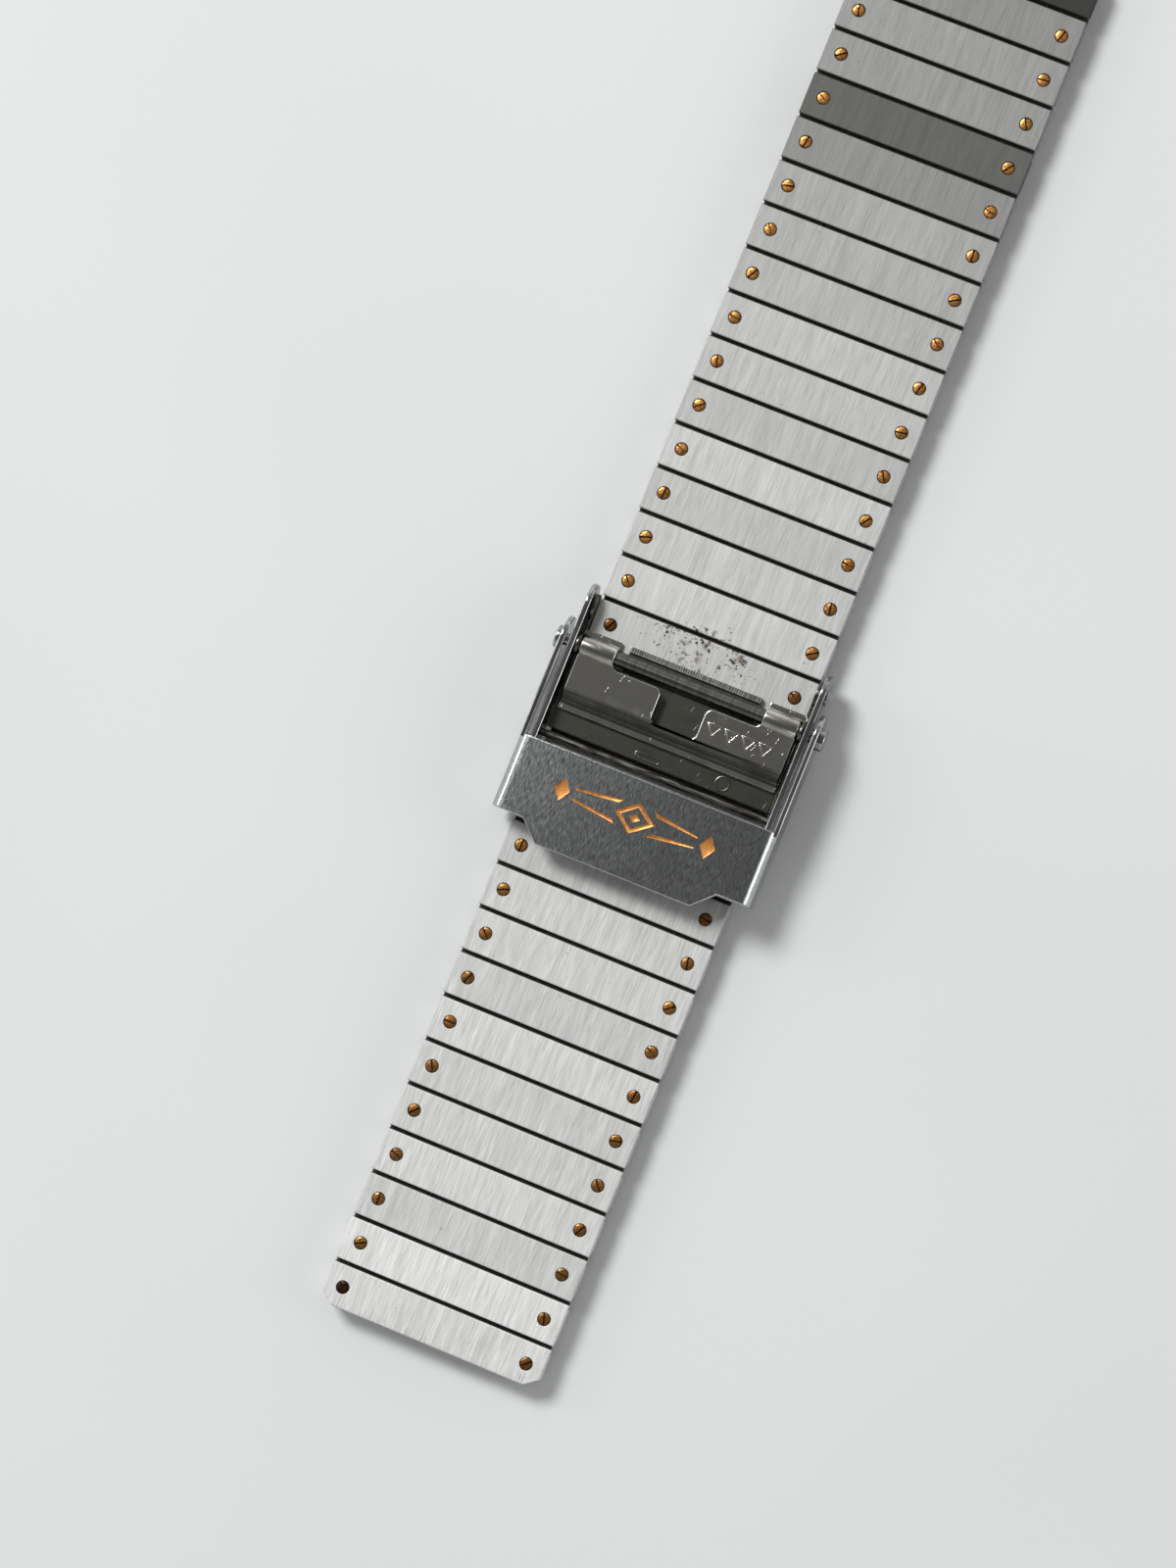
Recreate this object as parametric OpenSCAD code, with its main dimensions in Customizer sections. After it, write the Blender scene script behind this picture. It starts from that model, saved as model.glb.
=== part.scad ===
// Sliding fold-over clasp on one half of a steel watch bracelet.
// The bracelet lies flat along Y, its watch end towards +Y, its free tail end towards -Y.
// +Z is the outer side and +X is to the right. The origin is under the middle, on the surface.

/* [Bracelet] */
// Width of the bracelet
band_w = 18; // [16:0.5:20]
// Distance from one link to the next
link_pitch = 3.64; // [3.4:0.02:4]
// Whole thickness of a link
link_t = 1.8; // [1.8:0.05:2.2]
// Thickness of the brushed plate on top of a link
plate_t = 0.62; // [0.4:0.02:0.62]
// Dark gap between two plates
groove_w = 0.3; // [0.2:0.02:0.4]
// Bevel along the plates' edges
plate_bevel = 0.07; // [0.03:0.01:0.12]
// Bevel under the links, on the wrist side
wrist_bevel = 0.15; // [0.05:0.05:0.3]
// From the tail link's screws to its free end
tail_end = 1.58; // [1.4:0.02:2]
// Cut corner of the tail link, across the bracelet
tail_cut_x = 1.1; // [0.5:0.1:1.3]
// Cut corner of the tail link, along the bracelet
tail_cut_y = 0.8; // [0.3:0.1:1]

/* [Link hinges] */
// Radius of the knuckles under the grooves
knuckle_r = 0.5; // [0.42:0.02:0.5]
// Diameter of the hinge pins
pin_d = 0.56; // [0.44:0.02:0.6]
// Running clearance round a pin in a tongue
pin_play = 0.03; // [0.02:0.01:0.05]
// Gap round a pin in its ears and round a screw in its hole
fit_gap = 0.01; // [0.005:0.005:0.02]
// Half the width of the middle tongue
tongue_half = 4; // [3:0.5:5]
// From the bracelet's edge to the ears' outer ends
ear_inset = 0.3; // [0.1:0.1:2]
// Gap between a knuckle and what turns round it
knuckle_gap = 0.06; // [0.04:0.01:0.1]
// Gap between a tongue and the ears beside it
side_gap = 0.1; // [0.05:0.01:0.2]

/* [Link screws] */
// Diameter of the screw heads
screw_head_d = 1.03; // [0.8:0.01:1.2]
// Thickness of the screw heads
screw_head_t = 0.4; // [0.3:0.05:0.55]
// Diameter of the screws under the head
screw_d = 0.6; // [0.4:0.05:0.7]
// Length of a screw under its head
screw_len = 0.75; // [0.5:0.05:0.9]
// Distance from a screw's axis to the bracelet's edge
screw_inset = 1.38; // [1.1:0.02:1.8]
// Depth of a head's top below the plate
screw_sunk = 0.06; // [0.02:0.01:0.12]
// Width of the screwdriver slot
slot_w = 0.17; // [0.12:0.01:0.24]
// Depth of the screwdriver slot
slot_depth = 0.16; // [0.08:0.01:0.24]

/* [Slider] */
// Thickness of the plate under the bracelet
floor_t = 0.45; // [0.3:0.05:0.6]
// Gap between the bracelet and the slider's plates
slide_gap = 0.08; // [0.05:0.01:0.15]
// Gap between the bracelet's edge and the slider's walls
wall_gap = 0.06; // [0.04:0.01:0.1]
// Thickness of the slider's side walls
wall_t = 0.3; // [0.2:0.02:0.34]
// Thickness of the bridge plate over the bracelet
bridge_t = 0.35; // [0.25:0.05:0.4]
// From the reference link's screws back to the slider's front edge
slider_front = 0.95; // [0.8:0.01:1.1]
// From the reference link's screws back to the slider's rear edge
slider_back = 8.95; // [8:0.05:9]
// Length of the front strips, along the bracelet
strip_len = 0.55; // [0.4:0.01:0.6]
// From the reference link's screws back to the bridge plate's front edge
bridge_front = 3; // [2.8:0.02:3.1]
// Length of the clamp leaf's serrated lip, along the bracelet
lip_len = 0.45; // [0.3:0.01:0.5]
// Height of the lip above the leaf
lip_h = 0.3; // [0.2:0.02:0.5]
// Width of the clamp leaf
leaf_w = 10.8; // [9:0.1:11.4]
// Thickness of the clamp leaf
leaf_t = 0.2; // [0.12:0.01:0.22]
// Distance between two serrations
tooth_pitch = 0.45; // [0.3:0.05:0.9]
// Depth of the serrations
tooth_depth = 0.09; // [0.04:0.01:0.12]

/* [Hook bar and lever] */
// Diameter of the hook bar
bar_d = 1.1; // [0.9:0.02:1.2]
// Running clearance of the lever on the bar
bar_play = 0.03; // [0.02:0.01:0.05]
// From the reference link's screws back to the bar
bar_back = 2.26; // [2.2:0.02:2.3]
// Height of the bar's axis above the bracelet's outer face
bar_rise = 0.98; // [0.96:0.01:1.2]
// Thickness of the lever's sheet
lever_t = 0.3; // [0.2:0.02:0.34]
// Gap between the lever's sides and the inner faces of the slider's walls
lever_gap = 0.11; // [0.06:0.01:2]
// Height of the lever's flat above the bracelet, to its top
lever_rise = 1.5; // [1.35:0.02:1.6]
// Height of the lever's rear edge above the bracelet, to its top
lever_lip_rise = 0.9; // [0.84:0.02:1.1]
// From the reference link's screws back to the lever's slope
slope_back = 5.94; // [5.6:0.02:6.2]
// Length of the lever's slope
slope_len = 0.75; // [0.5:0.05:1]
// From the reference link's screws back to the lever's rear edge
lever_back = 7.37; // [7.1:0.01:7.8]
// Width of the window over the hook bar
window_w = 12.25; // [11.6:0.05:13]
// From the reference link's screws back to the window's straight edge
window_back = 3.16; // [3.12:0.02:3.4]
// Radius of the window's corners
window_r = 0.58; // [0.2:0.02:0.8]
// Width of the window's stem
stem_w = 3.7; // [3:0.05:4.5]
// From the reference link's screws back to the stem's end
stem_back = 5.9; // [4.8:0.05:5.9]

/* [Hinged frame] */
// Thickness of the inner arms
inner_t = 0.5; // [0.4:0.02:0.54]
// Gap between the slider's walls and the inner arms
inner_gap = 0.06; // [0.04:0.01:0.08]
// Height of the inner arms
inner_h = 3.4; // [3:0.1:3.6]
// From the reference link's screws forward to the frame's rivets
frame_ahead = 0.83; // [0.7:0.01:1]
// Height of the frame's rivets above the bracelet's outer face
frame_rise = 0.3; // [0.1:0.05:0.5]
// From the reference link's screws back to the inner arms' rear ends
inner_back = 15.9; // [15.7:0.05:16]
// Diameter of the frame rivets
frame_rivet_d = 0.8; // [0.6:0.02:1]
// Diameter of the frame rivets' heads
frame_head_d = 1.25; // [1.1:0.05:1.5]
// Height of the frame rivets' heads
frame_head_h = 0.12; // [0.08:0.01:0.14]
// Gap between the frame rivets' heads and the inner arms
head_gap = 0.03; // [0.02:0.01:0.05]
// Running clearance round the frame rivets
frame_play = 0.03; // [0.02:0.01:0.05]
// Radius of the slider's ears round the frame rivets
ear_r = 1.05; // [0.8:0.05:1.2]
// Diameter of the bar that holds the slider down
keeper_d = 0.6; // [0.4:0.02:0.62]
// From the reference link's screws back to that bar
keeper_back = 9.54; // [9.5:0.02:9.7]
// Height of that bar's axis above the bracelet's outer face
keeper_rise = 0.55; // [0.5:0.05:0.8]
// From the reference link's screws back to the flat cross bar
cross_back = 15.4; // [15:0.05:15.4]
// Length of the flat cross bar, along the bracelet
cross_len = 0.9; // [0.6:0.05:0.9]
// Thickness of the flat cross bar
cross_t = 0.55; // [0.4:0.05:0.6]
// Height of the cross bar's underside above the bracelet
cross_rise = 0.95; // [0.9:0.05:1]

/* [Cover] */
// Thickness of the cover's sheet
cover_t = 0.45; // [0.35:0.01:0.5]
// Height of the cover's top above the bracelet's outer face
cover_rise = 2.7; // [2.6:0.05:3]
// Radius of the cover's side folds, outside
fold_r = 0.85; // [0.6:0.05:1]
// Gap between the inner and outer arms
outer_gap = 0.25; // [0.2:0.01:0.3]
// Height of the outer arms
outer_h = 3.7; // [3.4:0.05:3.75]
// From the reference link's screws back to the cover's rivets
cover_pivot_back = 2.29; // [2.1:0.01:2.4]
// Height of the cover's rivets above the bracelet's outer face
cover_pivot_rise = 0.7; // [0.68:0.02:0.8]
// From the reference link's screws back to the cover's front edge
cover_front = 10.15; // [10:0.05:10.6]
// From the reference link's screws back to the cover's side corners
cover_side_back = 16.17; // [16.1:0.05:16.6]
// From the reference link's screws back to the end of the cover's tongue
cover_back = 17.74; // [17.4:0.05:18.4]
// Width of the tongue at its end
tongue_end_w = 12.74; // [11:0.1:13.5]
// Width of the tongue where its cut corners start
tongue_root_w = 16; // [14.5:0.1:17]
// Diameter of the cover rivets
cover_rivet_d = 1; // [0.8:0.02:1.2]
// Diameter of the cover rivets' heads
cover_head_d = 1.8; // [1.4:0.05:2]
// Height of the cover rivets' heads
cover_head_h = 0.48; // [0.3:0.02:0.6]
// Running clearance round the cover rivets
cover_play = 0.03; // [0.02:0.01:0.05]
// Width of the catch leaf under the cover
catch_w = 5; // [3:0.5:8]
// Thickness of the catch leaf
catch_t = 0.15; // [0.1:0.01:0.18]
// Gap between the catch leaf and the cross bar
catch_gap = 0.1; // [0.06:0.01:0.15]

/* [Ornament] */
// Depth of the engraving in the cover
engrave_depth = 0.12; // [0.08:0.01:0.2]
// Depth of the gold filling's top below the cover
fill_sunk = 0.03; // [0.01:0.01:0.05]
// Whole width of the ornament
ornament_w = 13.2; // [10:0.1:14]
// Height of the ornament, along the bracelet
ornament_h = 2.5; // [1.6:0.1:3]
// From the reference link's screws back to the ornament's middle
ornament_back = 13.1; // [12.6:0.1:13.6]
// Width of the ornament's lines
line_w = 0.34; // [0.25:0.01:0.4]

/* [Hidden] */
$fn = 48;
first_core = 12;
ref_link = 15;
last_link = 31;
seen = 0.05;

pin_r = pin_d / 2;
plate_len = link_pitch - groove_w;
floor_z = 0;
link_z = floor_z + floor_t + slide_gap;
top_z = link_z + link_t;
plate_z = top_z - plate_t;
hinge_z = plate_z - knuckle_gap - knuckle_r;
web_reach = link_pitch / 2 - knuckle_r - knuckle_gap;
whole_len = tail_end + (last_link + 0.5) * link_pitch + knuckle_r;
first_y = tail_end - whole_len / 2;
clasp_y = first_y + ref_link * link_pitch;
screw_x = band_w / 2 - screw_inset;
ear_reach = band_w / 2 - ear_inset;
head_z = top_z - screw_sunk - screw_head_t;

wall_x = band_w / 2 + wall_gap;
lever_w = 2 * (wall_x - lever_gap);
inner_x = wall_x + wall_t + inner_gap;
outer_x = inner_x + inner_t + outer_gap;
cover_x = outer_x + cover_t;
bridge_z = top_z + slide_gap;
bridge_top = bridge_z + bridge_t;

bar_r = bar_d / 2;
bar_z = top_z + bar_rise;
barrel_r = bar_r + bar_play + lever_t;

inner_r = inner_h / 2;
frame_z = top_z + frame_rise;
keeper_r = keeper_d / 2;
keeper_z = top_z + keeper_rise;
cross_z = top_z + cross_rise;

outer_r = outer_h / 2;
pivot_z = top_z + cover_pivot_rise;
cover_z = top_z + cover_rise;
cover_under = cover_z - cover_t;

function link_y(i) = first_y + i * link_pitch;
function link_name(i) = str("link_", i < 10 ? "0" : "", i);
// A slot turned by a different amount on every screw, as they were left by hand
function slot_turn(i, side) = (i * 67 + side * 41) % 180;

// Draws a side view: its x becomes Y, its y becomes Z, and it is made this wide across X
module across(width, x = 0) {
    translate([x, 0, 0])
        rotate([90, 0, 90])
            linear_extrude(width, center = true)
                children();
}

// A round rod across X
module rod(r, width, y, z, x = 0) {
    translate([x, y, z])
        rotate([0, 90, 0])
            cylinder(r = r, h = width, center = true);
}

// What the clasp's pieces are measured from: the screws of the reference link
module on_clasp() {
    translate([0, clasp_y, 0])
        children();
}

module both_sides() {
    children();
    mirror([1, 0, 0])
        children();
}

// One link's plate and the block under it, from their rear ends forward
module link_block(plate_rear, block_rear) {
    plate_front = plate_len / 2;
    across(band_w)
        union() {
            polygon([
                [plate_rear, plate_z], [plate_front, plate_z], [plate_front, top_z - plate_bevel],
                [plate_front - plate_bevel, top_z], [plate_rear + plate_bevel, top_z],
                [plate_rear, top_z - plate_bevel]
            ]);
            polygon([
                [block_rear + wrist_bevel, link_z], [web_reach - wrist_bevel, link_z],
                [web_reach, link_z + wrist_bevel], [web_reach, plate_z + seen],
                [block_rear, plate_z + seen], [block_rear, link_z + wrist_bevel]
            ]);
        }
}

module tongue() {
    across(2 * tongue_half)
        union() {
            translate([link_pitch / 2, hinge_z])
                circle(knuckle_r);
            translate([web_reach - seen, hinge_z - knuckle_r])
                square([link_pitch / 2 - web_reach + seen, 2 * knuckle_r]);
        }
}

module ears() {
    ear_start = tongue_half + side_gap;
    both_sides()
        across(ear_reach - ear_start, (ear_reach + ear_start) / 2)
            union() {
                translate([-link_pitch / 2, hinge_z])
                    circle(knuckle_r);
                translate([-link_pitch / 2, hinge_z - knuckle_r])
                    square([link_pitch / 2 - web_reach + seen, 2 * knuckle_r]);
            }
}

module screw_hole() {
    translate([0, 0, head_z - fit_gap])
        cylinder(d = screw_head_d + 2 * fit_gap, h = top_z - head_z + fit_gap + seen);
    translate([0, 0, head_z - screw_len - fit_gap])
        cylinder(d = screw_d + 2 * fit_gap, h = screw_len + seen);
}

module screw(turn) {
    difference() {
        union() {
            translate([0, 0, head_z])
                cylinder(d = screw_head_d, h = screw_head_t);
            translate([0, 0, head_z - screw_len])
                cylinder(d = screw_d, h = screw_len + seen);
        }
        translate([0, 0, head_z + screw_head_t - slot_depth / 2 + seen])
            rotate([0, 0, turn])
                cube([screw_head_d + 2 * seen, slot_w, slot_depth + 2 * seen], center = true);
    }
}

module tail_corner_cuts() {
    half = band_w / 2;
    both_sides()
        linear_extrude(top_z + seen)
            polygon([
                [half + tail_cut_x, 2 * tail_cut_y - tail_end], [half - 2 * tail_cut_x, -tail_cut_y - tail_end],
                [half + tail_cut_x, -tail_cut_y - tail_end]
            ]);
}

// The solid part of a link, with its knuckles bored for the pins
module link_body(i) {
    is_tail = i == 0;
    difference() {
        union() {
            if (is_tail)
                link_block(-tail_end, wrist_bevel - tail_end);
            else
                link_block(-plate_len / 2, -web_reach);
            tongue();
            if (!is_tail)
                ears();
        }
        rod(pin_r + pin_play, 2 * tongue_half + 1, link_pitch / 2, hinge_z);
        if (!is_tail)
            rod(pin_r + fit_gap, band_w - 2 * seen, -link_pitch / 2, hinge_z);
        if (is_tail)
            tail_corner_cuts();
        for (side = [-1, 1])
            translate([side * screw_x, 0, 0])
                screw_hole();
    }
}

module bracelet_link(i) {
    color("silver")
        translate([0, link_y(i), 0])
            link_body(i);
    if (i > 0)
        color("dimgray")
            translate([0, link_y(i), 0])
                rod(pin_r, 2 * ear_reach, -link_pitch / 2, hinge_z);
    color("goldenrod")
        for (side = [-1, 1])
            translate([side * screw_x, link_y(i), 0])
                screw(slot_turn(i, side));
}

// Side view of the slider's walls, with an ear for the frame's rivet and one for the hook bar
module wall_profile() {
    difference() {
        union() {
            translate([-slider_back, floor_z])
                square([slider_back - bar_back, bridge_top]);
            polygon([
                [-bar_back, floor_z], [-slider_front, floor_z], [frame_ahead + ear_r / 2, frame_z - ear_r * 0.7],
                [frame_ahead, frame_z + ear_r / 2], [-slider_front, bridge_top], [-bar_back, bridge_top]
            ]);
            translate([frame_ahead, frame_z])
                circle(ear_r);
            translate([-bar_back, bar_z])
                circle(barrel_r);
            translate([-bar_back - barrel_r, bridge_z])
                square([2 * barrel_r, bar_z - bridge_z]);
        }
        translate([frame_ahead, frame_z])
            circle(frame_rivet_d / 2);
        translate([-bar_back, bar_z])
            circle(bar_r);
    }
}

module slider_channel() {
    color("slategray")
        on_clasp() {
            translate([-wall_x - seen, -slider_back, floor_z])
                cube([2 * (wall_x + seen), slider_back - slider_front, floor_t]);
            both_sides()
                across(wall_t, wall_x + wall_t / 2)
                    wall_profile();
        }
}

module bridge_plate() {
    color("dimgray")
        on_clasp()
            translate([-wall_x, -slider_back, bridge_z])
                cube([2 * wall_x, slider_back - bridge_front, bridge_t]);
}

// The short strips that close the slider in front of the lever's barrels
module front_strips() {
    color("lightgray")
        on_clasp()
            both_sides()
                translate([window_w / 2, -slider_front - strip_len, bridge_z])
                    cube([wall_x - window_w / 2, strip_len, bridge_t]);
}

// A spring leaf under the hook bar, whose serrated lip the lever presses on the bracelet
module clamp_leaf() {
    teeth = floor(leaf_w / tooth_pitch) - 1;
    color("gray")
        on_clasp()
            difference() {
                across(leaf_w)
                    polygon([
                        [-bridge_front, bridge_z], [-slider_front, bridge_z],
                        [-slider_front, bridge_z + leaf_t + lip_h],
                        [-slider_front - lip_len, bridge_z + leaf_t + lip_h],
                        [-slider_front - lip_len, bridge_z + leaf_t], [-bridge_front, bridge_z + leaf_t]
                    ]);
                for (k = [0:teeth - 1])
                    translate([(k - (teeth - 1) / 2) * tooth_pitch, -slider_front, bridge_z + leaf_t + lip_h])
                        rotate([0, 45, 0])
                            cube([tooth_depth, 2 * lip_len + seen, tooth_depth], center = true);
            }
}

module hook_bar() {
    color("gainsboro")
        on_clasp()
            rod(bar_r, 2 * (wall_x + wall_t), -bar_back, bar_z);
}

module frame_rivets() {
    shank = wall_t + inner_gap + inner_t + head_gap;
    color("lightgray")
        on_clasp()
            both_sides() {
                rod(frame_rivet_d / 2, shank, frame_ahead, frame_z, wall_x + shank / 2);
                rod(frame_head_d / 2, frame_head_h, frame_ahead, frame_z, wall_x + shank + frame_head_h / 2);
            }
}

// Side view of the lever: a barrel round the hook bar, the flat, the slope and the rear lip
module lever_profile() {
    flat_z = top_z + lever_rise;
    lip_z = top_z + lever_lip_rise;
    difference() {
        union() {
            translate([-bar_back, bar_z])
                circle(barrel_r);
            polygon([
                [-bar_back, flat_z - lever_t], [-bar_back, flat_z],
                [-slope_back, flat_z], [-slope_back - slope_len, lip_z], [-lever_back, lip_z],
                [-lever_back, lip_z - lever_t], [-slope_back - slope_len + lever_t / 3, lip_z - lever_t],
                [-slope_back + lever_t / 3, flat_z - lever_t]
            ]);
        }
        translate([-bar_back, bar_z])
            circle(bar_r + bar_play);
    }
}

// What a rounded corner takes from a square one, or adds to it, turned to face a quadrant
module corner_bit(x, y, turn) {
    translate([x, y])
        rotate(turn)
            difference() {
                translate([-seen, -seen])
                    square(window_r + seen);
                translate([window_r, window_r])
                    circle(window_r);
            }
}

// The T-shaped window, in plan: a wide part over the hook bar and a stem behind it
module window_outline() {
    half = window_w / 2;
    stem = stem_w / 2;
    front = barrel_r - bar_back + 1;
    difference() {
        union() {
            translate([-half, -window_back])
                square([window_w, front + window_back]);
            translate([-stem, -stem_back])
                square([stem_w, stem_back - window_back + seen]);
            corner_bit(stem, -window_back, 270);
            corner_bit(-stem, -window_back, 180);
        }
        corner_bit(half, -window_back, 90);
        corner_bit(-half, -window_back, 0);
        corner_bit(stem, -stem_back, 90);
        corner_bit(-stem, -stem_back, 0);
    }
}

module lock_lever() {
    color("gray")
        on_clasp()
            difference() {
                across(lever_w)
                    lever_profile();
                translate([0, 0, top_z])
                    linear_extrude(bar_rise + barrel_r + 1)
                        window_outline();
            }
}

// Side view of an inner arm: a straight bar with a round end at the frame's rivet
module inner_arm_profile() {
    difference() {
        union() {
            translate([frame_ahead, frame_z])
                circle(inner_r);
            translate([-inner_back, frame_z - inner_r])
                square([inner_back + frame_ahead, inner_h]);
        }
        translate([frame_ahead, frame_z])
            circle(frame_rivet_d / 2 + frame_play);
        translate([-cover_pivot_back, pivot_z])
            circle(cover_rivet_d / 2 + cover_play);
    }
}

module inner_arm(side) {
    color("silver")
        on_clasp()
            across(inner_t, side * (inner_x + inner_t / 2))
                inner_arm_profile();
}

module keeper_bar() {
    color("gainsboro")
        on_clasp()
            rod(keeper_r, 2 * inner_x, -keeper_back, keeper_z);
}

module frame_crossbar() {
    color("silver")
        on_clasp()
            translate([-inner_x, -cross_back - cross_len / 2, cross_z])
                cube([2 * inner_x, cross_len, cross_t]);
}

// Plan of the cover: straight sides, then a tongue with cut corners
module cover_outline() {
    polygon([
        [-cover_x, -cover_front], [-cover_x, -cover_side_back], [-tongue_root_w / 2, -cover_side_back],
        [-tongue_end_w / 2, -cover_back], [tongue_end_w / 2, -cover_back],
        [tongue_root_w / 2, -cover_side_back], [cover_x, -cover_side_back], [cover_x, -cover_front]
    ]);
}

// Front view of the cover's folded sheet, drawn with X and Z
module fold_section() {
    low = pivot_z - outer_r;
    inner_fold = fold_r - cover_t;
    difference() {
        union() {
            translate([-cover_x, low])
                square([2 * cover_x, cover_z - fold_r - low]);
            translate([-cover_x + fold_r, low])
                square([2 * (cover_x - fold_r), cover_z - low]);
            for (side = [-1, 1])
                translate([side * (cover_x - fold_r), cover_z - fold_r])
                    circle(fold_r);
        }
        union() {
            translate([-outer_x, low - 1])
                square([2 * outer_x, cover_z - fold_r - low + 1]);
            translate([-outer_x + inner_fold, low - 1])
                square([2 * (outer_x - inner_fold), cover_under - low + 1]);
            for (side = [-1, 1])
                translate([side * (outer_x - inner_fold), cover_z - fold_r])
                    circle(inner_fold);
        }
    }
}

module cover_shell() {
    low = pivot_z - outer_r;
    intersection() {
        translate([0, -cover_front, 0])
            rotate([90, 0, 0])
                linear_extrude(cover_back - cover_front)
                    fold_section();
        translate([0, 0, low - 1])
            linear_extrude(cover_z - low + 2)
                cover_outline();
    }
}

module outer_arm_profile() {
    difference() {
        union() {
            translate([-cover_pivot_back, pivot_z])
                circle(outer_r);
            translate([-cover_front - 2 * seen, pivot_z - outer_r])
                square([cover_front - cover_pivot_back + 2 * seen, 2 * outer_r]);
        }
        translate([-cover_pivot_back, pivot_z])
            circle(cover_rivet_d / 2);
    }
}

// The ornament: a lozenge ring round a small lozenge, with tapering lines and end lozenges
module lozenge(w, h) {
    polygon([[-w / 2, 0], [0, -h / 2], [w / 2, 0], [0, h / 2]]);
}

module ornament() {
    ring_w = ornament_h * 1.3;
    end_w = ornament_h * 0.5;
    line_from = ring_w / 2 - line_w;
    line_to = ornament_w / 2 - end_w - line_w;
    spread = ornament_h * 0.26;
    difference() {
        lozenge(ring_w, ornament_h);
        lozenge(ring_w - 3 * line_w, ornament_h - 2.4 * line_w);
    }
    lozenge(ring_w * 0.28, ornament_h * 0.28);
    for (side = [-1, 1]) {
        translate([side * (ornament_w / 2 - end_w / 2), 0])
            lozenge(end_w, end_w * 1.5);
        for (up = [-1, 1])
            polygon([
                [side * line_from, up * (spread + line_w)], [side * line_to, up * (spread / 2 + line_w / 2)],
                [side * line_to, up * spread / 2], [side * (line_from + line_w), up * spread]
            ]);
    }
}

module cover() {
    color("dimgray")
        on_clasp()
            difference() {
                union() {
                    cover_shell();
                    both_sides()
                        across(cover_t, outer_x + cover_t / 2)
                            outer_arm_profile();
                }
                translate([0, -ornament_back, cover_z - engrave_depth])
                    linear_extrude(engrave_depth + 1)
                        ornament();
            }
}

module cover_inlay() {
    color("peru")
        on_clasp()
            translate([0, -ornament_back, cover_z - engrave_depth])
                linear_extrude(engrave_depth - fill_sunk)
                    ornament();
}

module cover_rivets() {
    shank_from = inner_x;
    shank = cover_x - shank_from;
    color("gainsboro")
        on_clasp()
            both_sides() {
                rod(cover_rivet_d / 2, shank, -cover_pivot_back, pivot_z, shank_from + shank / 2);
                rod(cover_head_d / 2, cover_head_h, -cover_pivot_back, pivot_z, cover_x + cover_head_h / 2);
            }
}

// A thin leaf under the cover that snaps over the cross bar
module catch_leaf() {
    bump_z = cross_z + cross_t + catch_gap;
    root_from = cover_front + 1.2;
    root_to = root_from + 1.4;
    tip = cross_back + cross_len / 2;
    color("gray")
        on_clasp()
            across(catch_w)
                polygon([
                    [-root_from, cover_under], [-root_from, cover_under - catch_t],
                    [-root_to, cover_under - catch_t], [-cross_back, bump_z], [-tip, bump_z + catch_t],
                    [-tip, bump_z + 2 * catch_t], [-cross_back, bump_z + catch_t], [-root_to, cover_under]
                ]);
}

slider_channel();
bridge_plate();
front_strips();
clamp_leaf();
hook_bar();
frame_rivets();
lock_lever();
inner_arm(-1);  // inner_arm_left
inner_arm(1);  // inner_arm_right
keeper_bar();
frame_crossbar();
cover();
cover_rivets();
catch_leaf();
cover_inlay();
for (i = [0:last_link])
    bracelet_link(i);
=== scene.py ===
"""Finished looks for a sliding fold-over clasp on one half of a steel link bracelet.

Laid out as a Blender add-on and run as a script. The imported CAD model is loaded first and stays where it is.
Everything is in metres in the CAD's frame: +Y towards the watch, +X to the right, +Z to the outer side."""

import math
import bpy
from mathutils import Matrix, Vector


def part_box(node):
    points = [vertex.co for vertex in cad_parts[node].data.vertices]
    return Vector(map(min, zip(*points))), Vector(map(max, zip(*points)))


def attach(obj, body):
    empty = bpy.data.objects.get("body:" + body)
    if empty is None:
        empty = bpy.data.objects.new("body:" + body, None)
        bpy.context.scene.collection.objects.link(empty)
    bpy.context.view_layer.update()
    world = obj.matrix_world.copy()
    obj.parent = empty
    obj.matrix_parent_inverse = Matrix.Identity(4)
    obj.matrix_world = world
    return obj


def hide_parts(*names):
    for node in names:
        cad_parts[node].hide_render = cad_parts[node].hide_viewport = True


bl_info = {
    "name": "Sliding Clasp Looks",
    "version": (1, 0, 0),
    "blender": (4, 5, 0),
    "location": "3D View > Sidebar > Clasp",
    "description": "Dresses the CAD model of a sliding bracelet clasp with finished pieces and materials",
    "category": "Object",
}

import bpy
from mathutils import Matrix, Vector

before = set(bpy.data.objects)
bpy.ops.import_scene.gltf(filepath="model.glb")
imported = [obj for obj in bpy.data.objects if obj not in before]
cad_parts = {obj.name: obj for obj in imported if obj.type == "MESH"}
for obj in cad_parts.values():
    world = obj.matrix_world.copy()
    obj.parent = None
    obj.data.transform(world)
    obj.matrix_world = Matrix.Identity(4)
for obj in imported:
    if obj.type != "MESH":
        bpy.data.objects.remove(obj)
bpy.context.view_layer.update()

MM = 0.001
SAME_PLACE = 0.0005 * MM
LINKS = 32
FIRST_CORE_LINK = 12
LAST_CORE_LINK = 15


def middle(node):
    """The middle of a CAD node's box."""
    low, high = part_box(node)
    return (low + high) / 2


def linear(hex_colour):
    """A linear colour from an sRGB hex value."""
    parts = [int(hex_colour[i : i + 2], 16) / 255 for i in (0, 2, 4)]
    return tuple(c / 12.92 if c <= 0.04045 else ((c + 0.055) / 1.055) ** 2.4 for c in parts)


# The clasp is measured back, towards -Y, from the screws of the link that its front stands over
CLASP_Y = middle("link_15").y
PITCH = CLASP_Y - middle("link_14").y
TOP_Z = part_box("link_15")[1].z
SCREW_X = 7.62 * MM
EAR_X = 8.7 * MM
PLATE_T = 0.62 * MM
SLOPE_Y = CLASP_Y - 5.94 * MM
BRIDGE_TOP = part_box("bridge_plate")[1].z
COVER_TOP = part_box("cover")[1].z


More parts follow.
